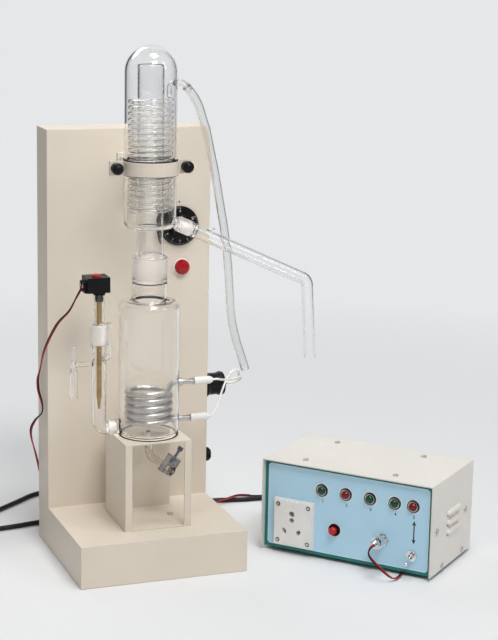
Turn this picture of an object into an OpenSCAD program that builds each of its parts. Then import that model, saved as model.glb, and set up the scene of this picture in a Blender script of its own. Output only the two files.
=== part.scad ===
// Glass water distiller: a boiler and a coil condenser on a steel stand, with a level
// sensor, a clamp, silicone and PVC hoses, and a separate control unit beside it.
// Millimetres. X to the right, Y to the back, Z up. The origin lies on the bench,
// at the middle of the stand's width, below the front face of the column.

/* [Stand] */
// Width of the stand
stand_w = 240; // [200:1:280]
// Height of the column above the bench
column_h = 605; // [580:1:660]
// Depth of the column
column_d = 55; // [48:1:80]
// Height of the base
base_h = 59.5; // [50:0.5:65]
// Reach of the base in front of the column
base_reach = 178; // [165:1:220]
// Thickness of the cabinet's steel sheet
sheet_t = 1.5; // [1:0.1:2]
// Width of the cabinet's turned-in edges
flange_w = 14; // [12:1:20]

/* [Boiler platform] */
// Width of the platform
platform_w = 96; // [92:1:104]
// Depth of the platform
platform_d = 97; // [92:1:104]
// Height of the platform above the base
platform_h = 125; // [110:1:135]
// Width of the front flanges
post_w = 10; // [6:1:12]
// Diameter of the hole under the boiler
platform_hole_d = 62; // [50:1:64]

/* [Boiler] */
// Distance of the glass axis in front of the column
glass_y = 86; // [80:1:95]
// Sideways offset of the glass axis
glass_x = 3; // [0:0.5:6]
// Outside diameter of the boiler
boiler_d = 85; // [82:0.5:88]
// Height of the boiler's body
boiler_h = 190.5; // [180:0.5:200]
// Wall of the large glass vessels
glass_t = 2.5; // [2:0.1:3]
// Outside diameter of the boiler's neck
neck_d = 49; // [48:0.5:52]
// Height of the plain neck
neck_h = 27; // [20:0.5:32]
// Length of the large ground joint
joint_h = 33.5; // [28:0.5:36]
// Small diameter of the large ground joint
joint_d1 = 39.8; // [38:0.1:40.5]
// Large diameter of the large ground joint
joint_d2 = 44.6; // [43:0.1:45]
// Diameter of the drain tube
drain_d = 8; // [7:0.1:9]

/* [Heater] */
// Outside diameter of the heater coil
heater_d = 68; // [60:0.5:72]
// Diameter of the heater tube
heater_tube_d = 8; // [6:0.1:8]
// Turns of the heater coil
heater_turns = 5; // [4:1:5]
// Pitch of the heater coil
heater_pitch = 9.6; // [9:0.1:10]

/* [Condenser] */
// Outside diameter of the condenser jacket
jacket_d = 72; // [70:0.5:76]
// Height of the jacket with its dome
jacket_h = 248; // [235:1:260]
// Outside diameter of the vapour tube
vapour_d = 37; // [32:0.5:38]
// Bare length of the vapour tube below the jacket
vapour_neck_h = 40.5; // [34:0.5:46]
// Outside diameter of the cooling coil
coil_d = 62; // [60:0.5:62]
// Diameter of the cooling coil's tube
coil_tube_d = 7; // [6:0.1:7]
// Turns of the cooling coil
coil_turns = 18; // [14:1:18]
// Pitch of the cooling coil
coil_pitch = 8.6; // [8:0.1:8.8]
// Diameter of the coil's outlet spigot
spigot_d = 9; // [8.4:0.1:9]

/* [Delivery tube] */
// Outside diameter of the delivery tube
delivery_d = 18; // [16:0.5:19]
// Wall of the small glass tubes
tube_t = 1.8; // [1.4:0.1:2]
// Slope of the delivery tube below the level
delivery_slope = 24.6; // [20:0.2:30]
// Length of the sloping run from the ground joint to the bend
delivery_run = 184.5; // [150:1:190]
// Length of the delivery tube's outlet leg
delivery_leg = 104; // [80:1:120]
// Length of the small ground joint
small_joint_l = 20; // [18:0.5:23]
// Large diameter of the small ground joint
small_joint_d = 14.5; // [14:0.1:15]

/* [Level tube] */
// Distance from the glass axis to the level tube
level_offset = 72; // [70:0.5:76]
// Outside diameter of the level tube
level_d = 20.4; // [19:0.1:21]
// Height of the side arm above the bottom of the boiler
level_arm_h = 12.5; // [12:0.5:15]
// Height of the overflow above the side arm
overflow_h = 92; // [80:0.5:100]
// Length of the drop leg of the overflow
overflow_leg = 38; // [30:0.5:45]
// Diameter of the overflow leg
overflow_d = 11; // [9:0.1:12]
// Diameter of the feed arm
feed_d = 7.3; // [6:0.1:8]
// Diameter of the level probe
probe_d = 7; // [5:0.1:7.5]

/* [Clamp] */
// Height of the clamp band's middle above the bench
clamp_z = 561.5; // [540:0.5:580]
// Height of the clamp band
band_h = 19; // [16:0.5:24]
// Thickness of the band's steel
band_t = 1.3; // [1:0.1:1.5]
// Thickness of the band's liner
liner_t = 1.2; // [1:0.1:1.5]
// Distance of each clamp knob from the glass axis
knob_x = 50; // [48:0.5:54]
// Diameter of the clamp knobs
knob_d = 16.5; // [15:0.5:18]

/* [Front controls] */
// Diameter of the power dial
dial_d = 57; // [50:0.5:60]
// Sideways place of the power dial
dial_x = 73.6; // [70:0.1:78]
// Height of the power dial
dial_z = 464.2; // [450:0.5:480]
// Outside diameter of the pilot lamp
lamp_d = 25; // [22:0.5:27]
// Sideways place of the pilot lamp
lamp_x = 77.7; // [70:0.1:84]
// Height of the pilot lamp
lamp_z = 404.2; // [395:0.5:412]
// Height of the heater socket on the right side
socket_z = 219; // [200:0.5:240]
// Height of the fuse holder on the right side
fuse_z = 111; // [95:0.5:130]

/* [Control unit] */
// Width of the control unit
unit_w = 263.5; // [258:0.5:275]
// Depth of the control unit
unit_d = 154.4; // [145:0.2:170]
// Height of the control unit with its feet
unit_h = 137.4; // [134:0.2:145]
// Turn of the control unit about the vertical
unit_turn = -48.5; // [-60:0.5:-40]
// How far the front panel is set back
panel_inset = 8; // [6:0.5:10]
// Height of the unit's feet
foot_h = 5; // [4.6:0.1:7]

/* [Pinch clip] */
// Outside diameter of the drain hose
drain_hose_d = 12; // [11:0.1:12.5]
// Height of the clip's frame
clip_h = 27; // [26:0.5:30]
// Width of the clip's frame
clip_w = 23; // [20:0.5:25]
// Tilt of the clip's screw from the vertical
clip_tilt = 33; // [0:1:40]

/* [Cords] */
// Diameter of the mains leads
lead_d = 7; // [6:0.1:7]
// Diameter of the level sensor's twin lead
sensor_lead_d = 4; // [3.4:0.1:4.2]
// Diameter of the heater's leads
heater_lead_d = 3; // [2.4:0.1:3]
// Outside diameter of the cooling water hose
hose_d = 12.2; // [12:0.1:13]
// Turns of each put-away mains lead
lead_turns = 5.25; // [3.25:1:6.25]

/* [Hidden] */
$fn = 64;
eps = 0.05; // seating clearance between pieces of one body
gap = 0.3; // running clearance between pieces that move

ivory = [0.87, 0.83, 0.76];
pale_ivory = [0.87, 0.86, 0.84];
clear_glass = [0.80, 0.88, 0.92, 0.45];
black = [0.05, 0.05, 0.06];
steel = [0.72, 0.73, 0.75];
brass = [0.66, 0.50, 0.16];

// Stand
gasket_t = 2;
platform_x0 = glass_x - platform_w / 2;
platform_y0 = -glass_y - platform_d / 2;
platform_z = base_h + platform_h;
boiler_z = platform_z + gasket_t;
boiler_r = boiler_d / 2;
neck_z = boiler_z + boiler_h;
joint_z = neck_z + neck_h;
joint_top = joint_z + joint_h;
rear_y = column_d + sheet_t;
screw_d = 4;

// Heater
heater_r = (heater_d - heater_tube_d) / 2;
heater_z = boiler_z + 11.5 + heater_tube_d / 2;
heater_rise = heater_turns * heater_pitch;
heater_arm_z = [heater_z - 1, heater_z + heater_rise + 8];
heater_arm_y = [8, -6];
sleeve_x0 = glass_x + boiler_r + 22;
sleeve_l = 27.5;
sleeve_d = heater_tube_d + 2.8;

// Condenser
jacket_z = joint_top + vapour_neck_h;
jacket_r = jacket_d / 2;
jacket_top = jacket_z + jacket_h;
vapour_top = jacket_top - 26;
coil_r = (coil_d - coil_tube_d) / 2;
coil_z = jacket_z + 12;
coil_top = coil_z + coil_turns * coil_pitch;
outlet_z = jacket_top - 50.5;
inlet_z = jacket_z + 22;
inlet_turn = 50;
side_arm_z = jacket_z + 7.5;
side_socket_d = 21.5;

// Level tube
level_x = glass_x - level_offset;
level_z = boiler_z + level_arm_h;
level_bend = level_d / 2 + 1.4;
level_joint_x = level_x + level_bend + 0.6;
overflow_z = level_z + overflow_h;
level_socket_z = overflow_z + 27;
level_socket_l = 28;
level_socket_d = 24;
head_z = level_socket_z + level_socket_l + 47;

// Clamp
band_r = jacket_r + 2 * eps + liner_t + gap;
clamp_y = -glass_y;
ear_gap = 2;
stud_d = 6;
knob_y = clamp_y - ear_gap / 2 - band_t - 2.2 - knob_d / 2 + 1;

// Control unit
unit_corner = [170.8, -100.6];
unit_in = unit_w - 2 * sheet_t - 0.4;
panel_y = panel_inset;
lamp_u = [92, 129.4, 166.8, 204.4, 232.4];
lamp_v = 103;
reset_u = 113.2;
reset_v = 47.6;
connector_u = 187.3;
connector_v = 47.1;
toggle_u = 233;
toggle_v = 31.3;
outlet_u = 50.8;
outlet_v = 47.5;
outlet_w = 62.5;
outlet_h = 69;

// Drain and clip
drain_turn = -64.7;
drain_bend = 14;
drain_fall = 15;
drain_start_z = boiler_z - 22;
clip_run = 30.4;
clip_tail = 10;
clip_depth = 9;
clip_bar = 2;
jaw_t = 2;

// Where the cords leave and end
gland_l = 30;
stand_gland_at = [-20, rear_y, 30];
unit_gland_at = [60, unit_d, 30];
plug_z = 19.5;

// ---------------------------------------------------------------- cords
// Routes in millimetres, chosen by hand, one point for each ring of the tube.
sensor_route = [
    [-89.6, -86, 399], [-94, -86, 398], [-101, -83, 384], [-108, -72, 364], [-118, -45, 340],
    [-124.5, -2, 296], [-125, 23, 262], [-125.5, 36, 243], [-125, 34, 226], [-124, 18, 212],
    [-125, 14, 199], [-129, 34, 184], [-133, 46, 168], [-132, 50, 152], [-124, 58, 125],
    [-113, 67, 84], [-103, 71, 45], [-86, 77, 14], [-60, 84, 2.2], [20, 93, 2.2],
    [130, 100, 2.2], [194, 110, 8.4], [213, 114, 10.2], [232, 118, 7.6], [257, 125, 2.4],
    [372, 110, 2.2], [410, 76, 2.2], [424, 30, 2.2], [413, -18, 2.2], [358, -104, 2.2],
    [341, -175, 2.2], [330, -240, 2.2], [314, -268, 2.2], [298, -279, 5], [284, -276, 16.5],
    [271, -270, 30.5], [266.2, -266.3, 39.5], [268.6, -264.1, 45.5], [272.6, -260.6, 47.1],
    [276.1, -257.5, 47.1]
];
unit_lead_route = [
    [348.75, -23.25, 30], [357, -16, 29], [374, -1, 17], [388, 16, 6], [396, 38, 3.5],
    [392, 64, 3.5], [374, 88, 3.5], [345, 103, 3.5], [300, 109, 3.5], [252, 111, 3.5],
    [214, 114.5, 3.5], [178, 122, 3.5], [120, 124, 3.5], [60, 118, 3.5], [0, 112, 3.5],
    [-60, 107, 3.5], [-110.6, 101.5, 3.5], [-150, 94, 3.5], [-190, 89.6, 3.5], [-225, 89, 3.5],
    [-240, 89, 3.5]
];
stand_lead_route = [
    [-20, 86.55, 30], [-20, 95, 30], [-20, 115, 24], [-19, 136, 12], [-19, 156, 4.4],
    [-20, 180, 3.5], [-26, 206, 3.5], [-42, 229, 3.5], [-64, 239, 3.5], [-88, 231, 3.5],
    [-112, 210.5, 3.5], [-151, 178, 3.5], [-180, 153.2, 3.5], [-193.4, 141.7, 3.5]
];
hose_route = [
    [53.15, -86, 670.1], [60.9, -86, 660.85], [67, -84.8, 652.8], [75, -78.5, 640.5], [83, -70.5, 624], [90, -66.6, 606],
    [96, -66, 580], [103, -66, 550], [111, -66, 508], [119, -66, 465], [125, -66, 418],
    [128.5, -66, 375], [132, -66, 338], [140, -66, 305], [148, -66, 282], [154, -66, 263]
];
heater_lead_high = [
    [95, -92, 258], [103, -89, 257.5], [113, -80, 253.5], [128, -58, 247], [143, -31, 239],
    [156, -8, 233.5], [170, 8, 231], [179, 18, 229], [180, 23, 224], [172, 25, 219.6], [158.1, 25.3, 219]
];
heater_lead_low = [
    [95, -78, 201], [102, -75.5, 201], [113, -58, 204], [127, -33, 210], [140, -13, 222],
    [152, 2, 233], [163, 11, 240], [173, 18, 240], [179, 24, 233], [177, 29, 224], [170, 30, 219.6], [158.1, 29.7, 219]
];
unit_coil_at = [-240, 40.5];
unit_coil_start = 90;
stand_coil_at = [-224.9, 178.4];
stand_coil_start = -49.5;
lead_coil_r = 48.5;
lead_coil_pitch = 7.6;
coil_steps = 24;

function unit(v) = v / norm(v);
function tangents(p) = [
    for (i = [0 : len(p) - 1])
        unit((i < len(p) - 1 ? unit(p[i + 1] - p[i]) : [0, 0, 0])
            + (i > 0 ? unit(p[i] - p[i - 1]) : [0, 0, 0]))
];
function square_on(n, t) = unit(n - (n * t) * t);
function normals(t, n0) = [
    for (i = 0, n = square_on(n0, t[0]); i < len(t); i = i + 1, n = i < len(t) ? square_on(n, t[i]) : n) n
];
function route_length(p) = len(p) < 2 ? 0 : [for (i = 1, s = 0; i <= len(p); s = s + (i < len(p)
    ? norm(p[i] - p[i - 1]) : 0), i = i + 1) s][len(p) - 1];
function least_gap(p, d, near) = min([
    for (i = [0 : len(p) - 1 - near]) for (j = [i + near : min(len(p) - 1, i + 3 * near)])
        norm(p[i] - p[j]) - d
]);

// A tube of triangles along a list of points.
module sweep(p, d, sides, n0 = [0, 0, 1]) {
    t = tangents(p);
    n = normals(t, n0);
    last = len(p) - 1;
    ring_points = [
        for (i = [0 : last]) for (k = [0 : sides - 1])
            p[i] + d / 2 * (cos(360 * k / sides) * n[i] + sin(360 * k / sides) * cross(t[i], n[i]))
    ];
    sides_low = [
        for (i = [0 : last - 1]) for (k = [0 : sides - 1])
            [i * sides + k, (i + 1) * sides + (k + 1) % sides, i * sides + (k + 1) % sides]
    ];
    sides_high = [
        for (i = [0 : last - 1]) for (k = [0 : sides - 1])
            [i * sides + k, (i + 1) * sides + k, (i + 1) * sides + (k + 1) % sides]
    ];
    caps = concat(
        [for (k = [1 : sides - 2]) [0, k, k + 1]],
        [for (k = [1 : sides - 2]) [last * sides, last * sides + k + 1, last * sides + k]]
    );
    polyhedron(points = ring_points, faces = concat(sides_low, sides_high, caps));
}

// A put-away lead: a spiral inwards on the bench, a climb, and a spiral outwards on top.
function lead_coil_point(at, start, way, s) =
    let (
        r = lead_coil_r - lead_coil_pitch * (lead_turns / 2 - abs(s - lead_turns / 2)),
        climb = min(1, max(0, 2 * (s - lead_turns / 2) + 0.5)),
        a = start + way * 360 * s
    ) [at[0] + r * cos(a), at[1] + r * sin(a), lead_d / 2 + climb * lead_coil_pitch];
function lead_coil_way(start, way) = let (a = start + way * 360 * lead_turns)
    way * [-sin(a), cos(a), 0];
function lead_tail(at, start, way) =
    let (p = lead_coil_point(at, start, way, lead_turns), w = lead_coil_way(start, way))
    [p + 10 * w, p + 22 * w + [0, 0, 3], p + 34 * w + [0, 0, 7.2], p + 43 * w + [0, 0, plug_z - p[2]],
        p + 50 * w + [0, 0, plug_z - p[2]]];
function lead_coil_path(at, start, way) = concat(
    [for (s = [0 : 1 / coil_steps : lead_turns + 0.001]) lead_coil_point(at, start, way, s)],
    lead_tail(at, start, way)
);

// ---------------------------------------------------------------- helpers
module rod_y(d, l) { rotate([-90, 0, 0]) cylinder(d = d, h = l); }
module rod_x(d, l) { rotate([0, 90, 0]) cylinder(d = d, h = l); }
module at_glass() { translate([glass_x, -glass_y, 0]) children(); }
module at_unit() {
    translate([unit_corner[0], unit_corner[1], 0]) rotate([0, 0, unit_turn]) children();
}

module ring(d, w) {
    difference() {
        circle(d = d);
        circle(d = d - 2 * w);
    }
}
// A straight tube is a hair thicker in the wall than a bend, whose ends reach into it.
hair = 0.03;
module tube_z(d, w, l) { linear_extrude(l) ring(d + 2 * hair, w + 2 * hair); }
module tube_x(d, w, l) { rotate([0, 90, 0]) tube_z(d, w, l); }
module tube_bend(r, d, w, turn) {
    more = 23 / r;
    rotate([0, 0, -more]) rotate_extrude(angle = turn + 2 * more) translate([r, 0]) ring(d, w);
}

// A quarter-round outline from the axis to r, with rounded lower and upper corners.
module vessel_outline(r, z0, z1, c0, c1) {
    middle = (z0 + z1) / 2;
    translate([0, z0]) square([r - c0, middle - z0]);
    translate([0, middle]) square([r - c1, z1 - middle]);
    translate([0, z0 + c0]) square([r, z1 - z0 - c0 - c1]);
    translate([r - c0, z0 + c0]) circle(c0);
    translate([r - c1, z1 - c1]) circle(c1);
}
// The filled hollow of a round inside corner, such as a neck on a shoulder.
module fillet_outline(x, z, f) {
    translate([x, z]) difference() {
        square([f, f]);
        translate([f, f]) circle(f);
    }
}
// A pan-head screw whose head sits on z = 0 and whose shank points down.
module pan_screw(l) {
    translate([0, 0, -l]) cylinder(d = screw_d, h = l + 0.5);
    intersection() {
        cylinder(d = 2 * screw_d, h = 0.7 * screw_d);
        translate([0, 0, -1.6 * screw_d]) sphere(r = 2.28 * screw_d);
    }
}

// ---------------------------------------------------------------- stand
rear_screw_x = stand_w / 2 - flange_w / 2 - sheet_t;
rear_screw_z = [30, column_h * 0.36, column_h * 0.68, column_h - flange_w / 2 - sheet_t];
base_screw_y = [-base_reach + flange_w / 2 + sheet_t, -base_reach / 2, column_d / 2];

module stand_outline(inset) {
    polygon([
        [-base_reach + inset, 0], [column_d, 0], [column_d, column_h - inset],
        [inset, column_h - inset], [inset, base_h - inset], [-base_reach + inset, base_h - inset]
    ]);
}
module along_x(w) {
    rotate([90, 0, 90]) translate([0, 0, -w / 2]) linear_extrude(w) children();
}
module rear_screw_places() {
    for (x = [-rear_screw_x, rear_screw_x]) for (z = rear_screw_z) translate([x, 0, z]) children();
}
module base_screw_places() {
    for (x = [-rear_screw_x, rear_screw_x]) for (y = base_screw_y) translate([x, y, 0]) children();
}

module stand_cabinet() {
    color(ivory) difference() {
        along_x(stand_w) stand_outline(0);
        // inside of the shell, with turned-in edges at the back and round the bottom
        intersection() {
            along_x(stand_w - 2 * sheet_t) stand_outline(sheet_t);
            translate([-stand_w, -2 * base_reach, 2 * sheet_t])
                cube([2 * stand_w, 2 * base_reach + column_d - sheet_t, column_h]);
        }
        // seat of the base plate
        translate([-stand_w / 2 + sheet_t, -base_reach + sheet_t, -1])
            cube([stand_w - 2 * sheet_t, base_reach + column_d - 2 * sheet_t, 1 + sheet_t]);
        // opening above the base plate
        translate([-stand_w / 2 + flange_w + sheet_t, -base_reach + flange_w + sheet_t, 0])
            cube([stand_w - 2 * flange_w - 2 * sheet_t,
                base_reach + column_d - 2 * flange_w - 2 * sheet_t, 3 * sheet_t]);
        // opening behind the column
        translate([-stand_w / 2 + flange_w + sheet_t, column_d - 3 * sheet_t, flange_w + sheet_t])
            cube([stand_w - 2 * flange_w - 2 * sheet_t, 4 * sheet_t,
                column_h - 2 * flange_w - 2 * sheet_t]);
        rear_screw_places() translate([0, column_d - 3 * sheet_t, 0])
            rod_y(screw_d + gap, 4 * sheet_t);
        base_screw_places() cylinder(d = screw_d + gap, h = 4 * sheet_t);
        translate([dial_x, -1, dial_z]) rod_y(regulator_bush_d + gap, 4);
        translate([lamp_x, -1, lamp_z]) rod_y(lamp_neck_d + gap, 4);
        translate([stand_w / 2 - 3, column_d / 2, socket_z]) rod_x(socket_neck_d + gap, 4);
        translate([stand_w / 2 - 3, column_d / 2, fuse_z]) rod_x(fuse_neck_d + gap, 4);
        bracket_screw_places() translate([0, -1, 0]) rod_y(screw_d + gap, 4);
        platform_screw_places() translate([0, 0, base_h - 3]) cylinder(d = screw_d + gap, h = 4);
    }
}
module rear_cover() {
    slot_l = 50;
    slot_w = 4;
    color(ivory) difference() {
        translate([-stand_w / 2 + 1, column_d + eps, 2])
            cube([stand_w - 2, sheet_t - eps, column_h - 3]);
        rear_screw_places() translate([0, column_d - 1, 0]) rod_y(screw_d + gap, 4);
        for (x = [-40, 40]) for (k = [0 : 5])
            translate([x, column_d - 1, column_h - 60 - 12 * k]) {
                translate([-slot_l / 2, 0, -slot_w / 2]) cube([slot_l, 4, slot_w]);
                for (s = [-slot_l / 2, slot_l / 2]) translate([s, 0, 0]) rod_y(slot_w, 4);
            }
        translate([stand_gland_at[0], column_d - 1, stand_gland_at[2]]) rod_y(gland_neck_d + 2 * eps, 4);
    }
}
module base_plate() {
    color(steel) difference() {
        translate([-stand_w / 2 + sheet_t + 2 * eps, -base_reach + sheet_t + 2 * eps, 0])
            cube([stand_w - 2 * sheet_t - 4 * eps,
                base_reach + column_d - 2 * sheet_t - 4 * eps, sheet_t - eps]);
        base_screw_places() translate([0, 0, -eps])
            cylinder(d1 = 2 * screw_d + 2 * eps, d2 = screw_d + 2 * eps, h = sheet_t + 2 * eps);
    }
}
module stand_screws() {
    color(steel) {
        rear_screw_places() translate([0, rear_y + eps, 0]) rotate([-90, 0, 0]) pan_screw(8);
        base_screw_places() {
            cylinder(d1 = 2 * screw_d, d2 = screw_d, h = sheet_t);
            cylinder(d = screw_d, h = 8);
        }
        bracket_screw_places() translate([0, -bracket_foot_t - eps, 0]) rotate([90, 0, 0]) pan_screw(12);
        platform_screw_places() translate([0, 0, base_h + sheet_t + eps]) pan_screw(8);
    }
}

// ---------------------------------------------------------------- platform
module platform_screw_places() {
    for (s = [-1, 1]) translate([glass_x + s * 34.7, -glass_y + 3.5, 0]) children();
}
module platform() {
    t = sheet_t;
    rear_end = platform_y0 + platform_d;
    color(ivory) difference() {
        union() {
            translate([platform_x0, platform_y0, base_h + eps]) cube([platform_w, platform_d, t - eps]);
            translate([platform_x0, platform_y0, platform_z - t]) cube([platform_w, platform_d, t]);
            translate([platform_x0, platform_y0, base_h + eps]) cube([t, platform_d, platform_h - eps]);
            translate([platform_x0, rear_end - t, base_h + eps]) cube([platform_w, t, platform_h - eps]);
            for (x = [platform_x0, platform_x0 + platform_w - post_w])
                translate([x, platform_y0, base_h + eps]) cube([post_w, t, platform_h - eps]);
            translate([platform_x0 + platform_w - t, platform_y0, base_h + eps])
                cube([t, post_w / 2, platform_h - eps]);
        }
        at_glass() translate([0, 0, platform_z - 2 * t]) cylinder(d = platform_hole_d, h = 3 * t);
        platform_screw_places() translate([0, 0, base_h - 1]) cylinder(d = screw_d + gap, h = 4);
    }
}

// ---------------------------------------------------------------- boiler
boiler_corner = 6;
boiler_shoulder = 10;
joint_wall = 2.6;
stub_in = 6;

module boiler_gasket() {
    flat_r = boiler_r - boiler_corner;
    color(black) at_glass() translate([0, 0, platform_z]) rotate_extrude() polygon([
        [flat_r - 1, eps], [flat_r + 5.5, eps], [flat_r + 5.5, gasket_t + 0.35],
        [flat_r + 3, gasket_t + 0.35], [flat_r + 1.3, gasket_t - eps], [flat_r - 1, gasket_t - eps]
    ]);
}
// The boiler's outer form for w = 0, and its inside for w = the wall.
module boiler_form(w) {
    rotate_extrude() {
        vessel_outline(boiler_r - w, boiler_z + w, neck_z - w, boiler_corner - w / 2, boiler_shoulder - w);
        if (w == 0) {
            translate([0, neck_z - 1]) square([neck_d / 2, neck_h - 2]);
            translate([0, joint_z - 6]) square([neck_d / 2 - 3, 6]);
            translate([neck_d / 2 - 3, joint_z - 3]) circle(3);
            fillet_outline(neck_d / 2 - 0.01, neck_z - 0.01, 4);
            translate([0, joint_z - 1]) square([joint_d2 / 2 + joint_wall - 0.6, joint_h]);
            translate([0, joint_top - 3.5]) square([joint_d2 / 2 + joint_wall, 3.5]);
        } else {
            translate([0, neck_z - 2 * w]) square([neck_d / 2 - w, neck_h + w - 1]);
            polygon([
                [0, joint_z - 1.5], [joint_d1 / 2, joint_z - 1.5], [joint_d1 / 2, joint_z],
                [joint_d2 / 2, joint_top], [joint_d2 / 2, joint_top + 1], [0, joint_top + 1]
            ]);
        }
    }
    // drain tube below
    translate([0, 0, drain_start_z + (w > 0 ? -1 : 0.5)])
        cylinder(d = drain_d - (w > 0 ? 2 * tube_t : 0), h = w > 0 ? 27 : 22.5);
}
module boiler() {
    color(clear_glass) difference() {
        union() {
            at_glass() boiler_form(0);
            // side arm with the ground socket for the level tube
            translate([level_joint_x, -glass_y, level_z])
                rod_x(level_d + 0.6, glass_x - boiler_r - level_joint_x + stub_in);
            // collars where the heater's arms pass the wall
            for (k = [0, 1]) translate([glass_x + boiler_r - 8, -glass_y + heater_arm_y[k], heater_arm_z[k]])
                rod_x(heater_tube_d + 4, 12);
        }
        at_glass() boiler_form(glass_t);
        translate([level_joint_x - 1, -glass_y, level_z]) rod_x(12, 30);
        translate([level_joint_x, -glass_y, level_z]) rotate([0, 90, 0]) {
            cylinder(d1 = 17, d2 = 15, h = 12);
            translate([0, 0, -1]) cylinder(d = 17, h = 1.01);
        }
        for (k = [0, 1]) translate([glass_x, -glass_y + heater_arm_y[k], heater_arm_z[k]])
            rod_x(heater_tube_d + 4 * eps, boiler_r + 10);
    }
}

// ---------------------------------------------------------------- heater
function bezier(a, b, c, d, t) =
    (1 - t) * (1 - t) * (1 - t) * a + 3 * (1 - t) * (1 - t) * t * b + 3 * (1 - t) * t * t * c + t * t * t * d;
heater_end_turn = 60;
function heater_point(s) = let (a = heater_end_turn + s * (360 * heater_turns - 2 * heater_end_turn))
    [glass_x + heater_r * cos(a), -glass_y + heater_r * sin(a), heater_z + s * heater_rise];
function heater_arm(k, s) =
    let (
        end = heater_point(s),
        away = s == 0 ? [sin(heater_end_turn), -cos(heater_end_turn), 0]
            : [sin(heater_end_turn), cos(heater_end_turn), 0],
        wall = [glass_x + boiler_r - 5, -glass_y + heater_arm_y[k], heater_arm_z[k]]
    ) [for (t = [0.2 : 0.2 : 1]) bezier(end, end + 11 * away, wall - [12, 0, 0], wall, t)];
function backwards(p) = [for (i = [len(p) - 1 : -1 : 0]) p[i]];
heater_steps = heater_turns * 22;
heater_path = concat(
    [[sleeve_x0 + 20, -glass_y + heater_arm_y[0], heater_arm_z[0]],
        [glass_x + boiler_r + 8, -glass_y + heater_arm_y[0], heater_arm_z[0]]],
    backwards(heater_arm(0, 0)),
    [for (i = [0 : heater_steps]) heater_point(i / heater_steps)],
    heater_arm(1, 1),
    [[glass_x + boiler_r + 8, -glass_y + heater_arm_y[1], heater_arm_z[1]],
        [sleeve_x0 + 20, -glass_y + heater_arm_y[1], heater_arm_z[1]]]
);
module heater_coil() { color(steel) sweep(heater_path, heater_tube_d, 8); }
module heater_sleeves() {
    color("white") for (k = [0, 1])
        translate([sleeve_x0, -glass_y + heater_arm_y[k], heater_arm_z[k]]) rotate([0, 90, 0])
            difference() {
                union() {
                    cylinder(d = sleeve_d, h = sleeve_l - 4);
                    translate([0, 0, sleeve_l - 4]) cylinder(d1 = sleeve_d, d2 = sleeve_d - 4, h = 4);
                }
                translate([0, 0, -1]) cylinder(d = heater_tube_d + 4 * eps, h = 21.5);
            }
}
module heater_leads() {
    color("white") {
        sweep(heater_lead_high, heater_lead_d, 8);
        sweep(heater_lead_low, heater_lead_d, 8);
    }
}
socket_neck_d = 30;
plug_reach = 38;
module heater_socket() {
    at = [stand_w / 2, column_d / 2, socket_z];
    color(black) translate(at) difference() {
        union() {
            rod_x(40, 3);
            translate([-30, 0, 0]) rod_x(socket_neck_d, 30.5);
        }
        translate([-20, 0, 0]) rod_x(22, 30);
    }
}
module heater_plug() {
    start = stand_w / 2 + 3 + eps;
    color(black) translate([start, column_d / 2, socket_z]) difference() {
        rotate([0, 90, 0]) rotate_extrude() polygon([
            [0, -18], [10.8, -18], [10.8, 0], [19, 0], [19, 4], [16.5, 8], [16, 19],
            [18, 26], [17, 30], [8, 33], [5.5, plug_reach - 3], [0, plug_reach - 3]
        ]);
        for (k = [0 : 5]) rotate([60 * k, 0, 0]) translate([6, 0, 24]) rod_x(14, plug_reach);
    }
}
fuse_neck_d = 15;
module fuse_holder() {
    color(black) translate([stand_w / 2, column_d / 2, fuse_z]) difference() {
        union() {
            rod_x(19, 2);
            translate([-38, 0, 0]) rod_x(fuse_neck_d, 38.5);
        }
        translate([-34, 0, 0]) rod_x(7.5, 37);
    }
}
module fuse_cap() {
    color(black) translate([stand_w / 2 + 2 + gap, column_d / 2, fuse_z]) rotate([0, 90, 0]) {
        translate([0, 0, -26]) cylinder(d = 6.6, h = 27);
        difference() {
            rotate_extrude() polygon([[0, 0], [11, 0], [11, 6], [10, 10.5], [7.5, 13], [0, 14]]);
            translate([-1, -12, 12]) cube([2, 24, 3]);
        }
    }
}

// ---------------------------------------------------------------- level tube
overflow_x = -36;
feed_turn = 28;
feed_bend = 6;
module level_outline(w) {
    r = level_d / 2 + (w > 0 ? -w - hair : hair);
    top = level_socket_z + level_socket_l;
    polygon([
        [0, level_z + level_bend], [r, level_z + level_bend], [r, overflow_z], [r - 2, overflow_z + 8],
        [r - 1.4, overflow_z + 14], [level_socket_d / 2 - w - 0.8, overflow_z + 20],
        w > 0 ? [8.1, level_socket_z] : [level_socket_d / 2, overflow_z + 22],
        w > 0 ? [9.4, top] : [level_socket_d / 2, top - 1], [w > 0 ? 9.4 : level_socket_d / 2 - 1, top], [0, top]
    ]);
}
module overflow_outline(w) {
    z0 = overflow_z - 9 - overflow_leg;
    e = w > 0 ? 1 : 0;
    r = overflow_d / 2 - w;
    polygon([
        [0, z0 - e], [r, z0 - e], [r, overflow_z - 9.5 - w], [3.9 - w, overflow_z - 4.5 - w / 2],
        [3.9 - w, overflow_z + 4], [2.7 - 0.7 * w, overflow_z + 8], [2.7 - 0.7 * w, overflow_z + 27 + e],
        [0, overflow_z + 27 + e]
    ]);
}
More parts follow.
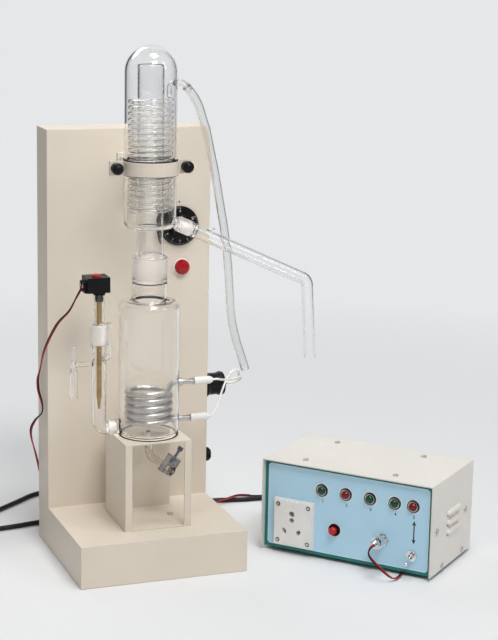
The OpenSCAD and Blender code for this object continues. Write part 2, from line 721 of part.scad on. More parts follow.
module level_tube() {
    w = tube_t;
    feed_r = level_socket_d / 2 + 1;
    color(clear_glass) translate([level_x, -glass_y, 0]) {
        difference() {
            union() {
                rotate_extrude() level_outline(0);
                translate([overflow_x, 0, 0]) rotate_extrude() overflow_outline(0);
                translate([overflow_x, 0, overflow_z]) rod_x(7, -overflow_x - 9);
                rotate([0, 0, feed_turn]) translate([7.6, 0, overflow_z + 5]) rod_x(feed_d + 2 * hair, feed_r - 7.6);
            }
            rotate_extrude() level_outline(w);
            translate([overflow_x, 0, 0]) rotate_extrude() overflow_outline(1.3);
            translate([overflow_x, 0, overflow_z]) rod_x(4.4, -overflow_x - 6);
            rotate([0, 0, feed_turn]) translate([5, 0, overflow_z + 5]) rod_x(feed_d - 2.6 - 2 * hair, feed_r - 5);
        }
        rotate([0, 0, feed_turn]) translate([feed_r, 0, overflow_z + 5 + feed_bend]) {
            rotate([90, 0, 0]) rotate([0, 0, -90]) tube_bend(feed_bend, feed_d, 1.3, 90);
            translate([feed_bend, 0, 0]) tube_z(feed_d, 1.3, 43.5);
        }
        // elbow, side arm and the ground cone for the boiler's socket
        translate([level_bend, 0, level_z + level_bend]) rotate([90, 0, 0]) rotate([0, 0, 180])
            tube_bend(level_bend, level_d, w, 90);
        translate([level_bend, 0, level_z]) rotate([0, 90, 0]) rotate_extrude() polygon([
            [level_d / 2 - w - hair, 0], [level_d / 2 + hair, 0], [level_d / 2 + hair, 0.5], [8.5 - eps, 0.6],
            [7.55 - eps, 11.8], [6, 11.8], [6, 2]
        ]);
    }
}
module level_adapter() {
    z = level_socket_z + eps;
    l = level_socket_l;
    color(clear_glass) translate([level_x, -glass_y, z]) rotate_extrude() difference() {
        polygon([
            [0, 0.4], [8.1 - eps, 0.4], [9.4 - eps, l], [9.4 - eps, l + 1], [7.25, l + 3],
            [7.25, l + 42], [0, l + 42]
        ]);
        translate([0, -1]) square([5.6, l + 50]);
    }
}
module level_head() {
    color(black) translate([level_x, -glass_y, 0]) {
        difference() {
            translate([-20.5, -15, head_z]) cube([32, 30, 21]);
            translate([-4.5, 0, head_z + 19]) cylinder(d = 9, h = 5);
        }
        translate([0, 0, head_z - 4.7]) cylinder(d = 17, h = 4.8);
        translate([0, 0, head_z - 14]) cylinder(d = 11, h = 14.1);
        translate([-25, -9, head_z + 3]) cube([4.6, 6, 12]);
        translate([-25, 3, head_z + 3]) cube([4.6, 6, 12]);
        translate([-23, -10, head_z - 0.5]) cube([3, 20, 3.6]);
    }
}
module level_cap() {
    color("red") translate([level_x - 4.5, -glass_y, head_z + 19 + eps]) {
        cylinder(d = 8.8, h = 2);
        translate([0, 0, 2]) cylinder(d1 = 13, d2 = 11.5, h = 2.6);
    }
}
module probe_rod() {
    top = head_z - 14 - eps;
    color(brass) translate([level_x, -glass_y, 0]) {
        translate([0, 0, level_z + 43]) cylinder(d = probe_d, h = top - level_z - 43);
        translate([0, 0, level_z + 28]) cylinder(d1 = probe_d * 0.5, d2 = probe_d * 0.8, h = 15);
    }
}

// ---------------------------------------------------------------- condenser
// Along the sloping axis: s = 0 at the side arm's place on the glass axis.
module on_slope(s) {
    translate([glass_x, -glass_y, side_arm_z + 15.3]) rotate([0, delivery_slope, 0])
        translate([s, 0, 0]) children();
}
slope_joint_s = jacket_r + 29;
spigot_bend = 12;
spigot_fall = 50;
spigot_end = 9;
module condenser_outline(w) {
    vessel_outline(jacket_r - w, jacket_z + w, jacket_z + 40, 8 - w / 2, 0.01);
    translate([0, jacket_z + 30]) square([jacket_r - w, jacket_h - jacket_r - 30]);
    intersection() {
        translate([0, jacket_top - jacket_r]) circle(jacket_r - w);
        translate([0, jacket_top - jacket_r]) square(jacket_r);
    }
}
module vapour_outline() {
    polygon([
        [0, joint_z + 1], [joint_d1 / 2 - eps, joint_z + 1], [joint_d2 / 2 - eps, joint_top],
        [joint_d2 / 2 - 0.6, joint_top + 1], [vapour_d / 2, joint_top + 4.5],
        [vapour_d / 2, vapour_top - 1], [vapour_d / 2 - 1, vapour_top], [0, vapour_top]
    ]);
}
module condenser_jacket() {
    w = glass_t;
    color(clear_glass) {
        difference() {
            union() {
                at_glass() {
                    rotate_extrude() difference() {
                        union() {
                            difference() {
                                condenser_outline(0);
                                condenser_outline(w);
                            }
                            vapour_outline();
                        }
                        translate([0, joint_z]) square([vapour_d / 2 - w + 0.5, vapour_top - joint_z + 1]);
                    }
                    translate([jacket_r - 2, 0, outlet_z]) rod_x(spigot_d + 2 * hair, 6);
                    rotate([0, 0, inlet_turn]) translate([jacket_r - 2, 0, inlet_z]) {
                        rod_x(spigot_d, 22);
                        rotate([0, 90, 0]) cylinder(d1 = spigot_d + 4, d2 = spigot_d - 0.4, h = 3.8);
                    }
                }
                difference() {
                    on_slope(0) rotate([0, 90, 0]) rotate_extrude() polygon([
                        [0, jacket_r - 10], [7.5, jacket_r - 10], [7.5, jacket_r + 3.5],
                        [side_socket_d / 2, jacket_r + 9], [side_socket_d / 2, slope_joint_s - 0.6],
                        [side_socket_d / 2 - 0.6, slope_joint_s], [0, slope_joint_s]
                    ]);
                    at_glass() rotate_extrude() condenser_outline(w / 2);
                }
            }
            at_glass() {
                translate([jacket_r - w - 1, 0, outlet_z]) rod_x(spigot_d - 2 * tube_t - 2 * hair, w + 6);
                rotate([0, 0, inlet_turn]) translate([jacket_r - w - 1, 0, inlet_z])
                    rod_x(spigot_d - 2 * tube_t, 30);
            }
            on_slope(0) rotate([0, 90, 0]) rotate_extrude() polygon([
                [0, jacket_r - 10], [5.7, jacket_r - 10], [5.7, jacket_r + 5],
                [small_joint_d / 2 - 1, slope_joint_s - small_joint_l],
                [small_joint_d / 2, slope_joint_s], [small_joint_d / 2, slope_joint_s + 1],
                [0, slope_joint_s + 1]
            ]);
        }
        at_glass() translate([jacket_r + 4, 0, outlet_z - spigot_bend]) {
            rotate([90, 0, 0]) rotate([0, 0, 90 - spigot_fall])
                tube_bend(spigot_bend, spigot_d, tube_t, spigot_fall);
            rotate([0, spigot_fall, 0]) translate([0, 0, spigot_bend]) tube_x(spigot_d, tube_t, spigot_end);
        }
    }
}
coil_in_steps = 22;
coil_rings = coil_turns * coil_in_steps;
function condenser_coil_point(s) = let (a = inlet_turn + 360 * coil_turns * s * (1 + (360 - inlet_turn) / 360 / coil_turns))
    [glass_x + coil_r * cos(a), -glass_y + coil_r * sin(a),
        inlet_z + s * (coil_top - coil_z)];
module condenser_coil() {
    turns_path = [for (i = [0 : coil_rings]) condenser_coil_point(i / coil_rings)];
    reach = jacket_r - glass_t - 0.2;
    start_way = [cos(inlet_turn), sin(inlet_turn), 0];
    first = turns_path[0];
    last = turns_path[coil_rings];
    start = [glass_x, -glass_y, inlet_z] + reach * start_way;
    end = [glass_x + reach, -glass_y, outlet_z];
    path = concat(
        [start, start - 2.5 * start_way],
        [for (i = [3 : coil_rings - 1]) turns_path[i]],
        [last + [0, 3, 3], last + [0, 3.5, 12], [end[0] - 6, end[1] + 1.5, end[2] - 5],
            end - [2.5, 0, 0], end]
    );
    echo(str("cooling coil: least gap to itself ", least_gap(path, coil_tube_d, 11), " mm"));
    color(clear_glass) sweep(path, coil_tube_d, 6);
}

// ---------------------------------------------------------------- clamp
bracket_foot_t = 3;
bracket_foot_w = 44;
module bracket_screw_places() {
    for (x = [-15, 15]) translate([glass_x + x, 0, clamp_z]) children();
}
module half_band(r, side) {
    // side = 1 is the rear half, side = -1 the front half
    w = knob_x + 8;
    translate([0, 0, clamp_z - band_h / 2]) {
        intersection() {
            difference() {
                cylinder(r = r + band_t, h = band_h);
                translate([0, 0, -1]) cylinder(r = r, h = band_h + 2);
            }
            translate([-w, side > 0 ? ear_gap / 2 : -w - ear_gap / 2, -1]) cube([2 * w, w, band_h + 2]);
        }
        for (s = [-1, 1]) difference() {
            translate([s > 0 ? r + band_t / 2 : -w, side > 0 ? ear_gap / 2 : -ear_gap / 2 - band_t, 0])
                cube([w - r - band_t / 2, band_t, band_h]);
            translate([s * knob_x, -5, band_h / 2]) rod_y(stud_d + (side > 0 ? 2 * eps : 2 * gap), 10);
        }
    }
}
module clamp_bracket() {
    stem_y0 = -glass_y + band_r + band_t / 2;
    color(ivory) {
        at_glass() half_band(band_r, 1);
        translate([glass_x - 8, stem_y0, clamp_z - band_h / 2 + 2]) cube([16, -stem_y0 - 1, band_h - 4]);
        difference() {
            translate([glass_x - bracket_foot_w / 2, -bracket_foot_t, clamp_z - band_h / 2])
                cube([bracket_foot_w, bracket_foot_t - eps, band_h]);
            bracket_screw_places() translate([0, -5, 0]) rod_y(screw_d + gap, 10);
        }
    }
    color(steel) at_glass() for (s = [-1, 1])
        translate([s * knob_x, knob_y + glass_y - 1, clamp_z]) {
            rod_y(stud_d - 0.1, 14);
            translate([0, 11.4 - ear_gap / 2 + ear_gap, 0]) rotate([-90, 0, 0]) cylinder(d = 11, h = 4, $fn = 6);
        }
}
module clamp_liner() {
    color(black) at_glass() translate([0, 0, clamp_z - band_h / 2 - 1]) difference() {
        cylinder(r = jacket_r + eps + liner_t, h = band_h + 2.5);
        translate([0, 0, -1]) cylinder(r = jacket_r + eps, h = band_h + 5);
    }
}
module clamp_band() { color(ivory) at_glass() half_band(band_r, -1); }
module clamp_knob(s) {
    face = -ear_gap / 2 - band_t - eps;
    r = knob_d / 2;
    color(steel) at_glass() translate([s * knob_x, face - 1.2, clamp_z]) difference() {
        rod_y(14, 1.2);
        translate([0, -1, 0]) rod_y(stud_d + eps, 4);
    }
    color(black) at_glass() translate([s * knob_x, face - 1.2, clamp_z]) difference() {
        union() {
            translate([0, -r - 0.6, 0]) sphere(r);
            translate([0, -4, 0]) rod_y(9, 4);
        }
        translate([0, -r - 3, 0]) rod_y(stud_d + eps, r + 4);
    }
}
module clamp_knob_left() { clamp_knob(-1); }
module clamp_knob_right() { clamp_knob(1); }

// ---------------------------------------------------------------- delivery tube
delivery_bend = 15;
delivery_lean = 86;
module delivery_tube() {
    w = tube_t;
    turn = delivery_lean - delivery_slope;
    r = delivery_d / 2;
    c = small_joint_d / 2 - eps;
    color(clear_glass) on_slope(slope_joint_s) {
        rotate([0, 90, 0]) rotate_extrude() difference() {
            union() {
                polygon([
                    [0, 0.4 - small_joint_l], [c - 1, 0.4 - small_joint_l], [c, 0], [c, 0.3], [9, 1.4],
                    [r + hair, 6], [r + hair, delivery_run], [0, delivery_run]
                ]);
                translate([r - 0.4, 5]) circle(1.9);
            }
            polygon([
                [0, -small_joint_l], [4.3, -small_joint_l], [4.3, 1], [r - w - hair, 8],
                [r - w - hair, delivery_run + 1], [0, delivery_run + 1]
            ]);
            translate([-10, -30]) square([10, 100]);
        }
        translate([delivery_run, 0, -delivery_bend]) {
            rotate([90, 0, 0]) rotate([0, 0, 90 - turn]) tube_bend(delivery_bend, delivery_d, w, turn);
            rotate([0, turn, 0]) translate([0, 0, delivery_bend]) tube_x(delivery_d, w, delivery_leg);
        }
        translate([24, 0, r - 0.9]) rotate([0, 55, 0]) {
            cylinder(d = 3.4, h = 8);
            translate([0, 0, 8]) sphere(d = 4.4);
        }
    }
}
// A hose open at both ends, pushed over the outlet spigot.
module outlet_hose() {
    sides = 12;
    bore = (spigot_d + 2 * hair) / cos(180 / sides) + 2 * eps;
    t = tangents(hose_route);
    n = normals(t, [0, 1, 0]);
    last = len(hose_route) - 1;
    skin = [
        for (d = [hose_d, bore]) for (i = [0 : last]) for (k = [0 : sides - 1])
            hose_route[i] + d / 2 * (cos(360 * k / sides) * n[i] + sin(360 * k / sides) * cross(t[i], n[i]))
    ];
    inner = (last + 1) * sides;
    function at(s, i, k) = s * inner + i * sides + k % sides;
    walls = [
        for (i = [0 : last - 1]) for (k = [0 : sides - 1]) for (f = [
            [at(0, i, k), at(0, i + 1, k + 1), at(0, i, k + 1)],
            [at(0, i, k), at(0, i + 1, k), at(0, i + 1, k + 1)],
            [at(1, i, k), at(1, i, k + 1), at(1, i + 1, k + 1)],
            [at(1, i, k), at(1, i + 1, k + 1), at(1, i + 1, k)]
        ]) f
    ];
    rims = [
        for (k = [0 : sides - 1]) for (f = [
            [at(0, 0, k), at(0, 0, k + 1), at(1, 0, k + 1)],
            [at(0, 0, k), at(1, 0, k + 1), at(1, 0, k)],
            [at(0, last, k), at(1, last, k + 1), at(0, last, k + 1)],
            [at(0, last, k), at(1, last, k), at(1, last, k + 1)]
        ]) f
    ];
    color(clear_glass) polyhedron(points = skin, faces = concat(walls, rims));
}

// ---------------------------------------------------------------- front controls
regulator_bush_d = 10;
lamp_neck_d = 18;
dial_t = 3;
module energy_regulator() {
    color("dimgray") translate([dial_x, 0, dial_z]) {
        translate([-24, sheet_t + eps, -24]) cube([48, 36, 48]);
        translate([0, -1.4, 0]) rod_y(regulator_bush_d, 3.2);
        translate([0, -14, 0]) rod_y(6, 16);
    }
}
module power_dial() {
    hub_d = dial_d * 0.62;
    color(black) translate([dial_x, -1.8, dial_z]) rotate([90, 0, 0]) difference() {
        union() {
            rotate_extrude() polygon([
                [0, 0], [dial_d / 2, 0], [dial_d / 2, 1.4], [dial_d / 2 - 1.6, dial_t],
                [hub_d / 2, dial_t + 0.6], [hub_d / 2, 14.5], [hub_d / 2 - 2, 16.5], [0, 16.5]
            ]);
        }
        translate([0, 0, -1]) cylinder(d = 6 + 3 * eps, h = 14);
        for (k = [0 : 11]) rotate([0, 0, 30 * k + 15])
            translate([hub_d / 2 + 1.4, 0, dial_t + 1.2]) cylinder(d = 6, h = 20);
    }
}
module pilot_lamp_body() {
    color(pale_ivory) translate([lamp_x, 0, lamp_z]) difference() {
        union() {
            translate([0, -3.4, 0]) rotate([-90, 0, 0]) cylinder(d1 = lamp_d - 3, d2 = lamp_d, h = 3.4 - eps);
            translate([0, -1, 0]) rod_y(lamp_neck_d, 26);
        }
        translate([0, -4, 0]) rod_y(lamp_d - 8, 5);
        translate([0, -1, 0]) rod_y(lamp_neck_d - 4, 20);
    }
}
module pilot_lamp_lens() {
    d = lamp_d - 8 - 2 * eps;
    color("red") translate([lamp_x, 1 - eps, lamp_z]) rotate([90, 0, 0]) {
        cylinder(d = d, h = 5.5);
        translate([0, 0, 4.6]) rotate_extrude() polygon([
            [0, 0], [lamp_d / 2 - 1.4, 0], [lamp_d / 2 - 1.6, 2.6], [lamp_d / 2 - 4, 5.6], [lamp_d / 2 - 8, 7], [0, 7.4]
        ]);
    }
}

// ---------------------------------------------------------------- drain hose and clip
module at_drain() {
    translate([glass_x, -glass_y, drain_start_z]) rotate([0, 0, drain_turn]) children();
}
module at_drain_run(s) {
    turn = 90 - drain_fall;
    at_drain() translate([drain_bend * (1 - cos(turn)), 0, -drain_bend * sin(turn)])
        rotate([0, drain_fall, 0]) translate([s, 0, 0]) children();
}
module drain_hose() {
    turn = 90 - drain_fall;
    w = (drain_hose_d - drain_d) / 2 - eps - hair;
    color("white") {
        at_drain() tube_z(drain_hose_d, w, 9);
        at_drain() translate([drain_bend, 0, 0]) rotate([90, 0, 0]) rotate([0, 0, 180])
            tube_bend(drain_bend, drain_hose_d, w, turn);
        at_drain_run(0) tube_x(drain_hose_d, w, clip_run + clip_tail);
    }
}
clip_floor = -drain_hose_d / 2 - gap;
module at_clip() { at_drain_run(clip_run) rotate([-clip_tilt, 0, 0]) children(); }
module clip_frame() {
    color(steel) at_clip() difference() {
        translate([-clip_depth / 2, -clip_w / 2, clip_floor - clip_bar]) cube([clip_depth, clip_w, clip_h]);
        translate([-clip_depth, -clip_w / 2 + clip_bar, clip_floor])
            cube([2 * clip_depth, clip_w - 2 * clip_bar, clip_h - 2 * clip_bar]);
        cylinder(d = screw_d + 3 * eps, h = clip_h);
    }
}
jaw_z = drain_hose_d / 2 + gap;
module clip_jaw() {
    jaw_w = clip_w - 2 * clip_bar - 2 * gap;
    color(steel) at_clip() difference() {
        union() {
            translate([-clip_depth / 2, -jaw_w / 2, jaw_z]) cube([clip_depth, jaw_w, jaw_t]);
            translate([0, 0, jaw_z + jaw_t - 0.01]) cylinder(d = 7, h = 2.2);
        }
        translate([0, 0, jaw_z + jaw_t]) cylinder(d = screw_d + 3 * eps, h = 3);
    }
}
module clip_screw() {
    bottom = jaw_z + jaw_t + eps;
    top = clip_floor - clip_bar + clip_h + 16.5;
    color(steel) at_clip() {
        translate([0, 0, bottom]) cylinder(d = screw_d, h = top - bottom);
        translate([0, 0, top - 6]) difference() {
            cylinder(d = 8, h = 6);
            for (k = [0 : 9]) rotate([0, 0, 36 * k]) translate([4.5, 0, -1]) cylinder(d = 1.6, h = 8);
        }
    }
}

// ---------------------------------------------------------------- leads
gland_neck_d = 12;
module gland() {
    // along +Y from the outer face of the wall at y = 0
    difference() {
        union() {
            translate([0, -6, 0]) rod_y(gland_neck_d, 6.5);
            translate([0, eps, 0]) rod_y(17, 4);
            translate([0, 4, 0]) rotate([-90, 0, 0]) cylinder(d1 = 13, d2 = lead_d + 2.4, h = gland_l - 4);
            translate([0, -6, 0]) rotate([-90, 0, 0]) cylinder(d = 17, h = 4 - sheet_t, $fn = 6);
        }
    }
}
module cord_glands() {
    color(black) {
        translate(stand_gland_at) gland();
        at_unit() translate(unit_gland_at) gland();
    }
}
module mains_plug(at, start, way) {
    path = lead_tail(at, start, way);
    tip = path[len(path) - 1];
    w = lead_coil_way(start, way);
    pins = [[0, 12.2, 7.06, 20.6], [-9.5, -10, 5.06, 14.9], [9.5, -10, 5.06, 14.9]];
    translate(tip) rotate([0, 0, atan2(w[1], w[0])]) rotate([0, 90, 0]) {
        color(black) rotate_extrude() polygon([
            [0, 0], [lead_d / 2 + 1, 0], [6.2, 20], [9, 23], [15, 30], [18.6, 37],
            [19.5, 42], [19.5, 52], [18, 54], [0, 54]
        ]);
        color(brass) for (p = pins) translate([-p[1], p[0], 53]) {
            cylinder(d = p[2], h = p[3] - 0.5);
            translate([0, 0, p[3] - 0.5]) cylinder(d1 = p[2], d2 = p[2] - 1.6, h = 1.5);
        }
    }
}
module lead_coil(at, start, way) {
    path = lead_coil_path(at, start, way);
    echo(str("lead coil: ", route_length(path), " mm, least gap to itself ",
        least_gap(path, lead_d, coil_steps - 4), " mm"));
    color(black) sweep(path, lead_d, 6);
}
module stand_lead() { color(black) sweep(stand_lead_route, lead_d, 8); }
module unit_lead() { color(black) sweep(unit_lead_route, lead_d, 8); }
module sensor_lead() { color("darkred") sweep(sensor_route, sensor_lead_d, 8); }
module stand_lead_coil() { lead_coil(stand_coil_at, stand_coil_start, -1); }
module unit_lead_coil() { lead_coil(unit_coil_at, unit_coil_start, 1); }
module stand_plug() { mains_plug(stand_coil_at, stand_coil_start, -1); }
module unit_plug() { mains_plug(unit_coil_at, unit_coil_start, 1); }

// ---------------------------------------------------------------- control unit
top_screws = [[56.5, 25], [197, 24], [58, 129], [196, 129]];
side_screws = [[21, 68], [129, 70.5], [45, 11], [121, 11]];
module unit_side_places() {
    for (s = [0, 1]) for (p = side_screws)
        translate([s * unit_w, p[0], p[1]]) rotate([0, s == 1 ? 90 : -90, 0]) children();
}
module unit_cover() {
    t = sheet_t;
    color(pale_ivory) at_unit() difference() {
        union() {
            translate([0, 0, foot_h]) cube([t, unit_d, unit_h - foot_h]);
            translate([unit_w - t, 0, foot_h]) cube([t, unit_d, unit_h - foot_h]);
            translate([0, 0, unit_h - t]) cube([unit_w, unit_d, t]);
            // pressed louvres on both sides
            for (x = [0, unit_w]) for (z = [55, 69, 83])
                translate([x, 60, z]) louvre();
        }
        for (p = top_screws) translate([p[0], p[1], unit_h - 3]) cylinder(d = screw_d + gap, h = 5);
        unit_side_places() translate([0, 0, -3]) cylinder(d = screw_d + gap, h = 5);
        // the opening along each louvre's lower edge
        for (x = [0, unit_w]) for (z = [55, 69, 83])
            translate([x - 6, 58, z - 5]) cube([12, 46, 2.4]);
    }
}
// One louvre: a half-round ridge with round ends.
louvre_d = 9.4;
module louvre() {
    translate([0, 3, 0]) rod_y(louvre_d, 36);
    for (y = [3, 39]) translate([0, y, 0]) sphere(d = louvre_d);
}
module unit_chassis() {
    t = sheet_t;
    x0 = sheet_t + 0.2;
    w = unit_in;
    top = unit_h - sheet_t - 0.2;
    bottom = foot_h;
    color([0, 0.45, 0.39]) at_unit() difference() {
        union() {
            translate([x0, panel_y, bottom]) cube([w, t, top - bottom]);
            translate([x0, panel_y, bottom]) cube([w, unit_d - panel_y, t]);
            translate([x0, unit_d - t, bottom]) cube([w, t, top - bottom]);
            for (x = [x0, x0 + w - t]) translate([x, panel_y, bottom]) cube([t, unit_d - panel_y, flange_w]);
            for (y = [panel_y, unit_d - flange_w]) translate([x0, y, top - t]) cube([w, flange_w, t]);
            for (x = [x0, x0 + w - t]) for (y = [panel_y, unit_d - flange_w - 8])
                translate([x, y, bottom]) cube([t, flange_w + 8, top - bottom]);
        }
        for (p = top_screws) translate([p[0], p[1], top - 4]) cylinder(d = screw_d + gap, h = 5);
        unit_side_places() translate([0, 0, -5]) cylinder(d = screw_d + gap, h = 8);
        for (u = lamp_u) translate([u, panel_y - 1, lamp_v]) rod_y(bezel_neck_d + gap, 4);
        translate([reset_u, panel_y - 1, reset_v]) rod_y(bezel_neck_d + gap, 4);
        translate([connector_u, panel_y - 1, connector_v]) rod_y(connector_d + gap, 4);
        translate([toggle_u, panel_y - 1, toggle_v]) rod_y(toggle_d + gap, 4);
        translate([outlet_u - 22, panel_y - 1, outlet_v - 26]) cube([44, 4, 52]);
        translate([unit_gland_at[0], unit_d - 3, unit_gland_at[2]]) rod_y(gland_neck_d + 2 * eps, 4);
    }
}
module unit_overlay() {
    r = 5;
    u0 = 7;
    u1 = 257;
    v0 = 10;
    v1 = 131;
    t = 0.6;
    color([0.68, 0.80, 0.87]) at_unit() difference() {
        translate([0, panel_y - eps, 0]) rotate([90, 0, 0]) linear_extrude(t) union() {
            translate([u0 + r, v0]) square([u1 - u0 - 2 * r, v1 - v0]);
            translate([u0, v0 + r]) square([u1 - u0, v1 - v0 - 2 * r]);
            for (u = [u0 + r, u1 - r]) for (v = [v0 + r, v1 - r]) translate([u, v]) circle(r);
        }
        for (u = lamp_u) translate([u, panel_y - 2, lamp_v]) rod_y(bezel_neck_d + gap, 4);
        translate([reset_u, panel_y - 2, reset_v]) rod_y(bezel_neck_d + gap, 4);
        translate([connector_u, panel_y - 2, connector_v]) rod_y(connector_d + gap, 4);
        translate([toggle_u, panel_y - 2, toggle_v]) rod_y(toggle_d + gap, 4);
        translate([outlet_u - outlet_w / 2 - eps, panel_y - 2, outlet_v - outlet_h / 2 - eps])
            cube([outlet_w + 2 * eps, 4, outlet_h + 2 * eps]);
    }
}
module unit_screws() {
    color(steel) at_unit() {
        for (p = top_screws) translate([p[0], p[1], unit_h + eps]) pan_screw(6);
        unit_side_places() translate([0, 0, eps]) pan_screw(6);
        for (u = [-1, 1]) for (v = [-1, 1])
            translate([outlet_u + u * (outlet_w / 2 - 7.5), panel_y - 9 - eps, outlet_v + v * (outlet_h / 2 - 7.5)])
                rotate([90, 0, 0]) cylinder(d = 4, h = 0.8);
    }
}
module unit_feet() {
    color(black) at_unit() for (u = [22, unit_w - 22]) for (y = [26, unit_d - 20])
        translate([u, y, 0]) cylinder(d1 = 13, d2 = 15, h = foot_h - eps);
}
// Socket plate with earth holes above and two long holes below.
module outlet_socket() {
    front = panel_y - 9;
    color("white") at_unit() translate([outlet_u, 0, outlet_v]) difference() {
        union() {
            translate([-outlet_w / 2, front + 2, -outlet_h / 2]) cube([outlet_w, 7 - eps, outlet_h]);
            translate([-outlet_w / 2 + 1.5, front, -outlet_h / 2 + 1.5]) cube([outlet_w - 3, 3, outlet_h - 3]);
            translate([-21.5, panel_y - 1, -25.5]) cube([43, 24, 51]);
        }
        translate([-2, front - 1, 14.1]) rod_y(8.8, 24);
        translate([-2, front - 1, 5]) rod_y(7.4, 24);
        for (s = [-1, 1]) translate([-2 + s * 11.2, front - 1, -12]) rotate([0, s * 35, 0]) {
            for (k = [-1.6, 1.6]) translate([0, 0, k]) rod_y(5.4, 24);
            translate([-2.7, 0, -1.6]) cube([5.4, 24, 3.2]);
        }
    }
}
bezel_neck_d = 12;
bezel_d = 18.5;
bezel_h = 3;
bezel_floor = 1.2;
lens_d = 11.4;
stem_d = 9.6 - 2 * gap;
module bezel() {
    // ring nut, conical mouth and threaded neck; +Y goes into the panel
    rotate([-90, 0, 0]) difference() {
        union() {
            translate([0, 0, -bezel_h]) cylinder(d1 = bezel_d - 1.2, d2 = bezel_d, h = bezel_h - 0.7);
            translate([0, 0, -2]) cylinder(d = bezel_neck_d, h = 16);
        }
        translate([0, 0, -bezel_h - 0.2]) cylinder(d1 = 15.1, d2 = 12.6, h = bezel_h + 0.2 - bezel_floor);
        translate([0, 0, -3]) cylinder(d = 9.6, h = 14);
    }
}
module panel_bezels() {
    color(black) at_unit() {
        for (u = lamp_u) translate([u, panel_y, lamp_v]) bezel();
        translate([reset_u, panel_y, reset_v]) bezel();
    }
}
module lamp_lens() {
    rotate([90, 0, 0]) {
        translate([0, 0, -2]) cylinder(d = 9.4, h = bezel_floor + 2.2);
        translate([0, 0, bezel_floor + 0.05]) intersection() {
            cylinder(d = lens_d, h = 8);
            translate([0, 0, -0.07]) sphere(d = 13.24);
        }
    }
}
module green_lenses() {
    color("green") at_unit() for (k = [0, 2, 3]) translate([lamp_u[k], panel_y, lamp_v]) lamp_lens();
}
module red_lenses() {
    color("darkred") at_unit() for (k = [1, 4]) translate([lamp_u[k], panel_y, lamp_v]) lamp_lens();
}
module reset_button() {
    color("crimson") at_unit() translate([reset_u, panel_y, reset_v]) rotate([90, 0, 0]) {
        translate([0, 0, -6]) cylinder(d = stem_d, h = 11);
        translate([0, 0, 4.4]) cylinder(d = lens_d, h = 4.4);
        translate([0, 0, 8.8]) cylinder(d1 = lens_d, d2 = lens_d - 1.8, h = 1.2);
    }
}
toggle_d = 12;
toggle_pivot = 5;
toggle_down = 20;
toggle_ball_d = 5.6;
toggle_pin_d = 2;
module toggle_body() {
    color(steel) at_unit() translate([toggle_u, panel_y, toggle_v]) {
        difference() {
            union() {
                translate([0, -7.5, 0]) rod_y(10, 9);
                translate([0, -1, 0]) rod_y(toggle_d, 12);
                translate([0, -3.6, 0]) rotate([-90, 0, 0]) cylinder(d = 17, h = 2.9, $fn = 6);
                translate([-8, sheet_t + eps, -14]) cube([16, 20, 28]);
            }
            translate([0, -8, 0]) rotate([-90, 0, 0]) cylinder(d1 = 7.6, d2 = toggle_ball_d + 2 * eps, h = 2);
            translate([0, -8, 0]) rod_y(toggle_ball_d + 2 * eps, 11);
        }
        translate([-4, -toggle_pivot, 0]) rod_x(toggle_pin_d, 8);
    }
}
module toggle_lever() {
    color(steel) at_unit() translate([toggle_u, panel_y - toggle_pivot, toggle_v])
        rotate([90 + toggle_down, 0, 0]) difference() {
            union() {
                cylinder(d1 = 3.2, d2 = 5, h = 18);
                translate([0, 0, 18]) sphere(d = 5);
                sphere(d = toggle_ball_d);
            }
            translate([-5, 0, 0]) rod_x(toggle_pin_d + 0.1, 10);
        }
}
connector_d = 15;
module sensor_connector() {
    color(steel) at_unit() translate([connector_u, panel_y, connector_v]) difference() {
        union() {
            translate([0, -4, 0]) rotate([-90, 0, 0]) cylinder(d = 21, h = 3.3, $fn = 6);
            translate([0, -9, 0]) rod_y(connector_d, 22);
            translate([0, sheet_t + 1, 0]) rod_y(19, 3);
        }
        translate([0, -10, 0]) rod_y(12, 10);
    }
}
module sensor_plug() {
    color(steel) at_unit() translate([connector_u, panel_y, connector_v]) rotate([90, 0, 0]) {
        translate([0, 0, 1]) cylinder(d = 12 - 4 * eps, h = 11);
        translate([0, 0, 11.9]) cylinder(d = 10, h = 10);
        translate([0, 0, 21.8]) cylinder(d = 13.4, h = 7);
        translate([0, 0, 28.7]) cylinder(d1 = 13.4, d2 = 8, h = 4.3);
    }
}
module sensor_plug_ring() {
    color(steel) at_unit() translate([connector_u, panel_y, connector_v]) rotate([90, 0, 0])
        difference() {
            translate([0, 0, 9 + gap]) cylinder(d = 17.5, h = 11);
            translate([0, 0, 8]) cylinder(d = 10 + 2 * gap, h = 14);
            translate([0, 0, 8]) cylinder(d = 12.6, h = 6);
            for (k = [0 : 17]) rotate([0, 0, 20 * k]) translate([9.1, 0, 10.5]) cylinder(d = 1.3, h = 8.5);
        }
}

stand_cabinet();
rear_cover();
base_plate();
stand_screws();
platform();
boiler_gasket();
boiler();
heater_coil();
heater_sleeves();
heater_leads();
heater_plug();
heater_socket();
fuse_holder();
fuse_cap();
level_tube();
level_adapter();
level_head();
level_cap();
probe_rod();
condenser_jacket();
condenser_coil();
clamp_bracket();
clamp_liner();
clamp_band();
clamp_knob_left();
clamp_knob_right();
delivery_tube();
outlet_hose();
energy_regulator();
power_dial();
pilot_lamp_body();
pilot_lamp_lens();
drain_hose();
clip_frame();
clip_jaw();
clip_screw();
cord_glands();
stand_lead();
stand_lead_coil();
stand_plug();
unit_chassis();
unit_cover();
unit_overlay();
unit_screws();
unit_feet();
outlet_socket();
panel_bezels();
green_lenses();
red_lenses();
reset_button();
toggle_body();
toggle_lever();
sensor_connector();
sensor_plug();
sensor_plug_ring();
unit_lead();
unit_lead_coil();
unit_plug();
sensor_lead();
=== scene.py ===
"""The look of the glass water distiller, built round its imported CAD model. Metres, Z up, X right, Y back."""

import math

import bmesh
import bpy
from mathutils import Matrix, Vector


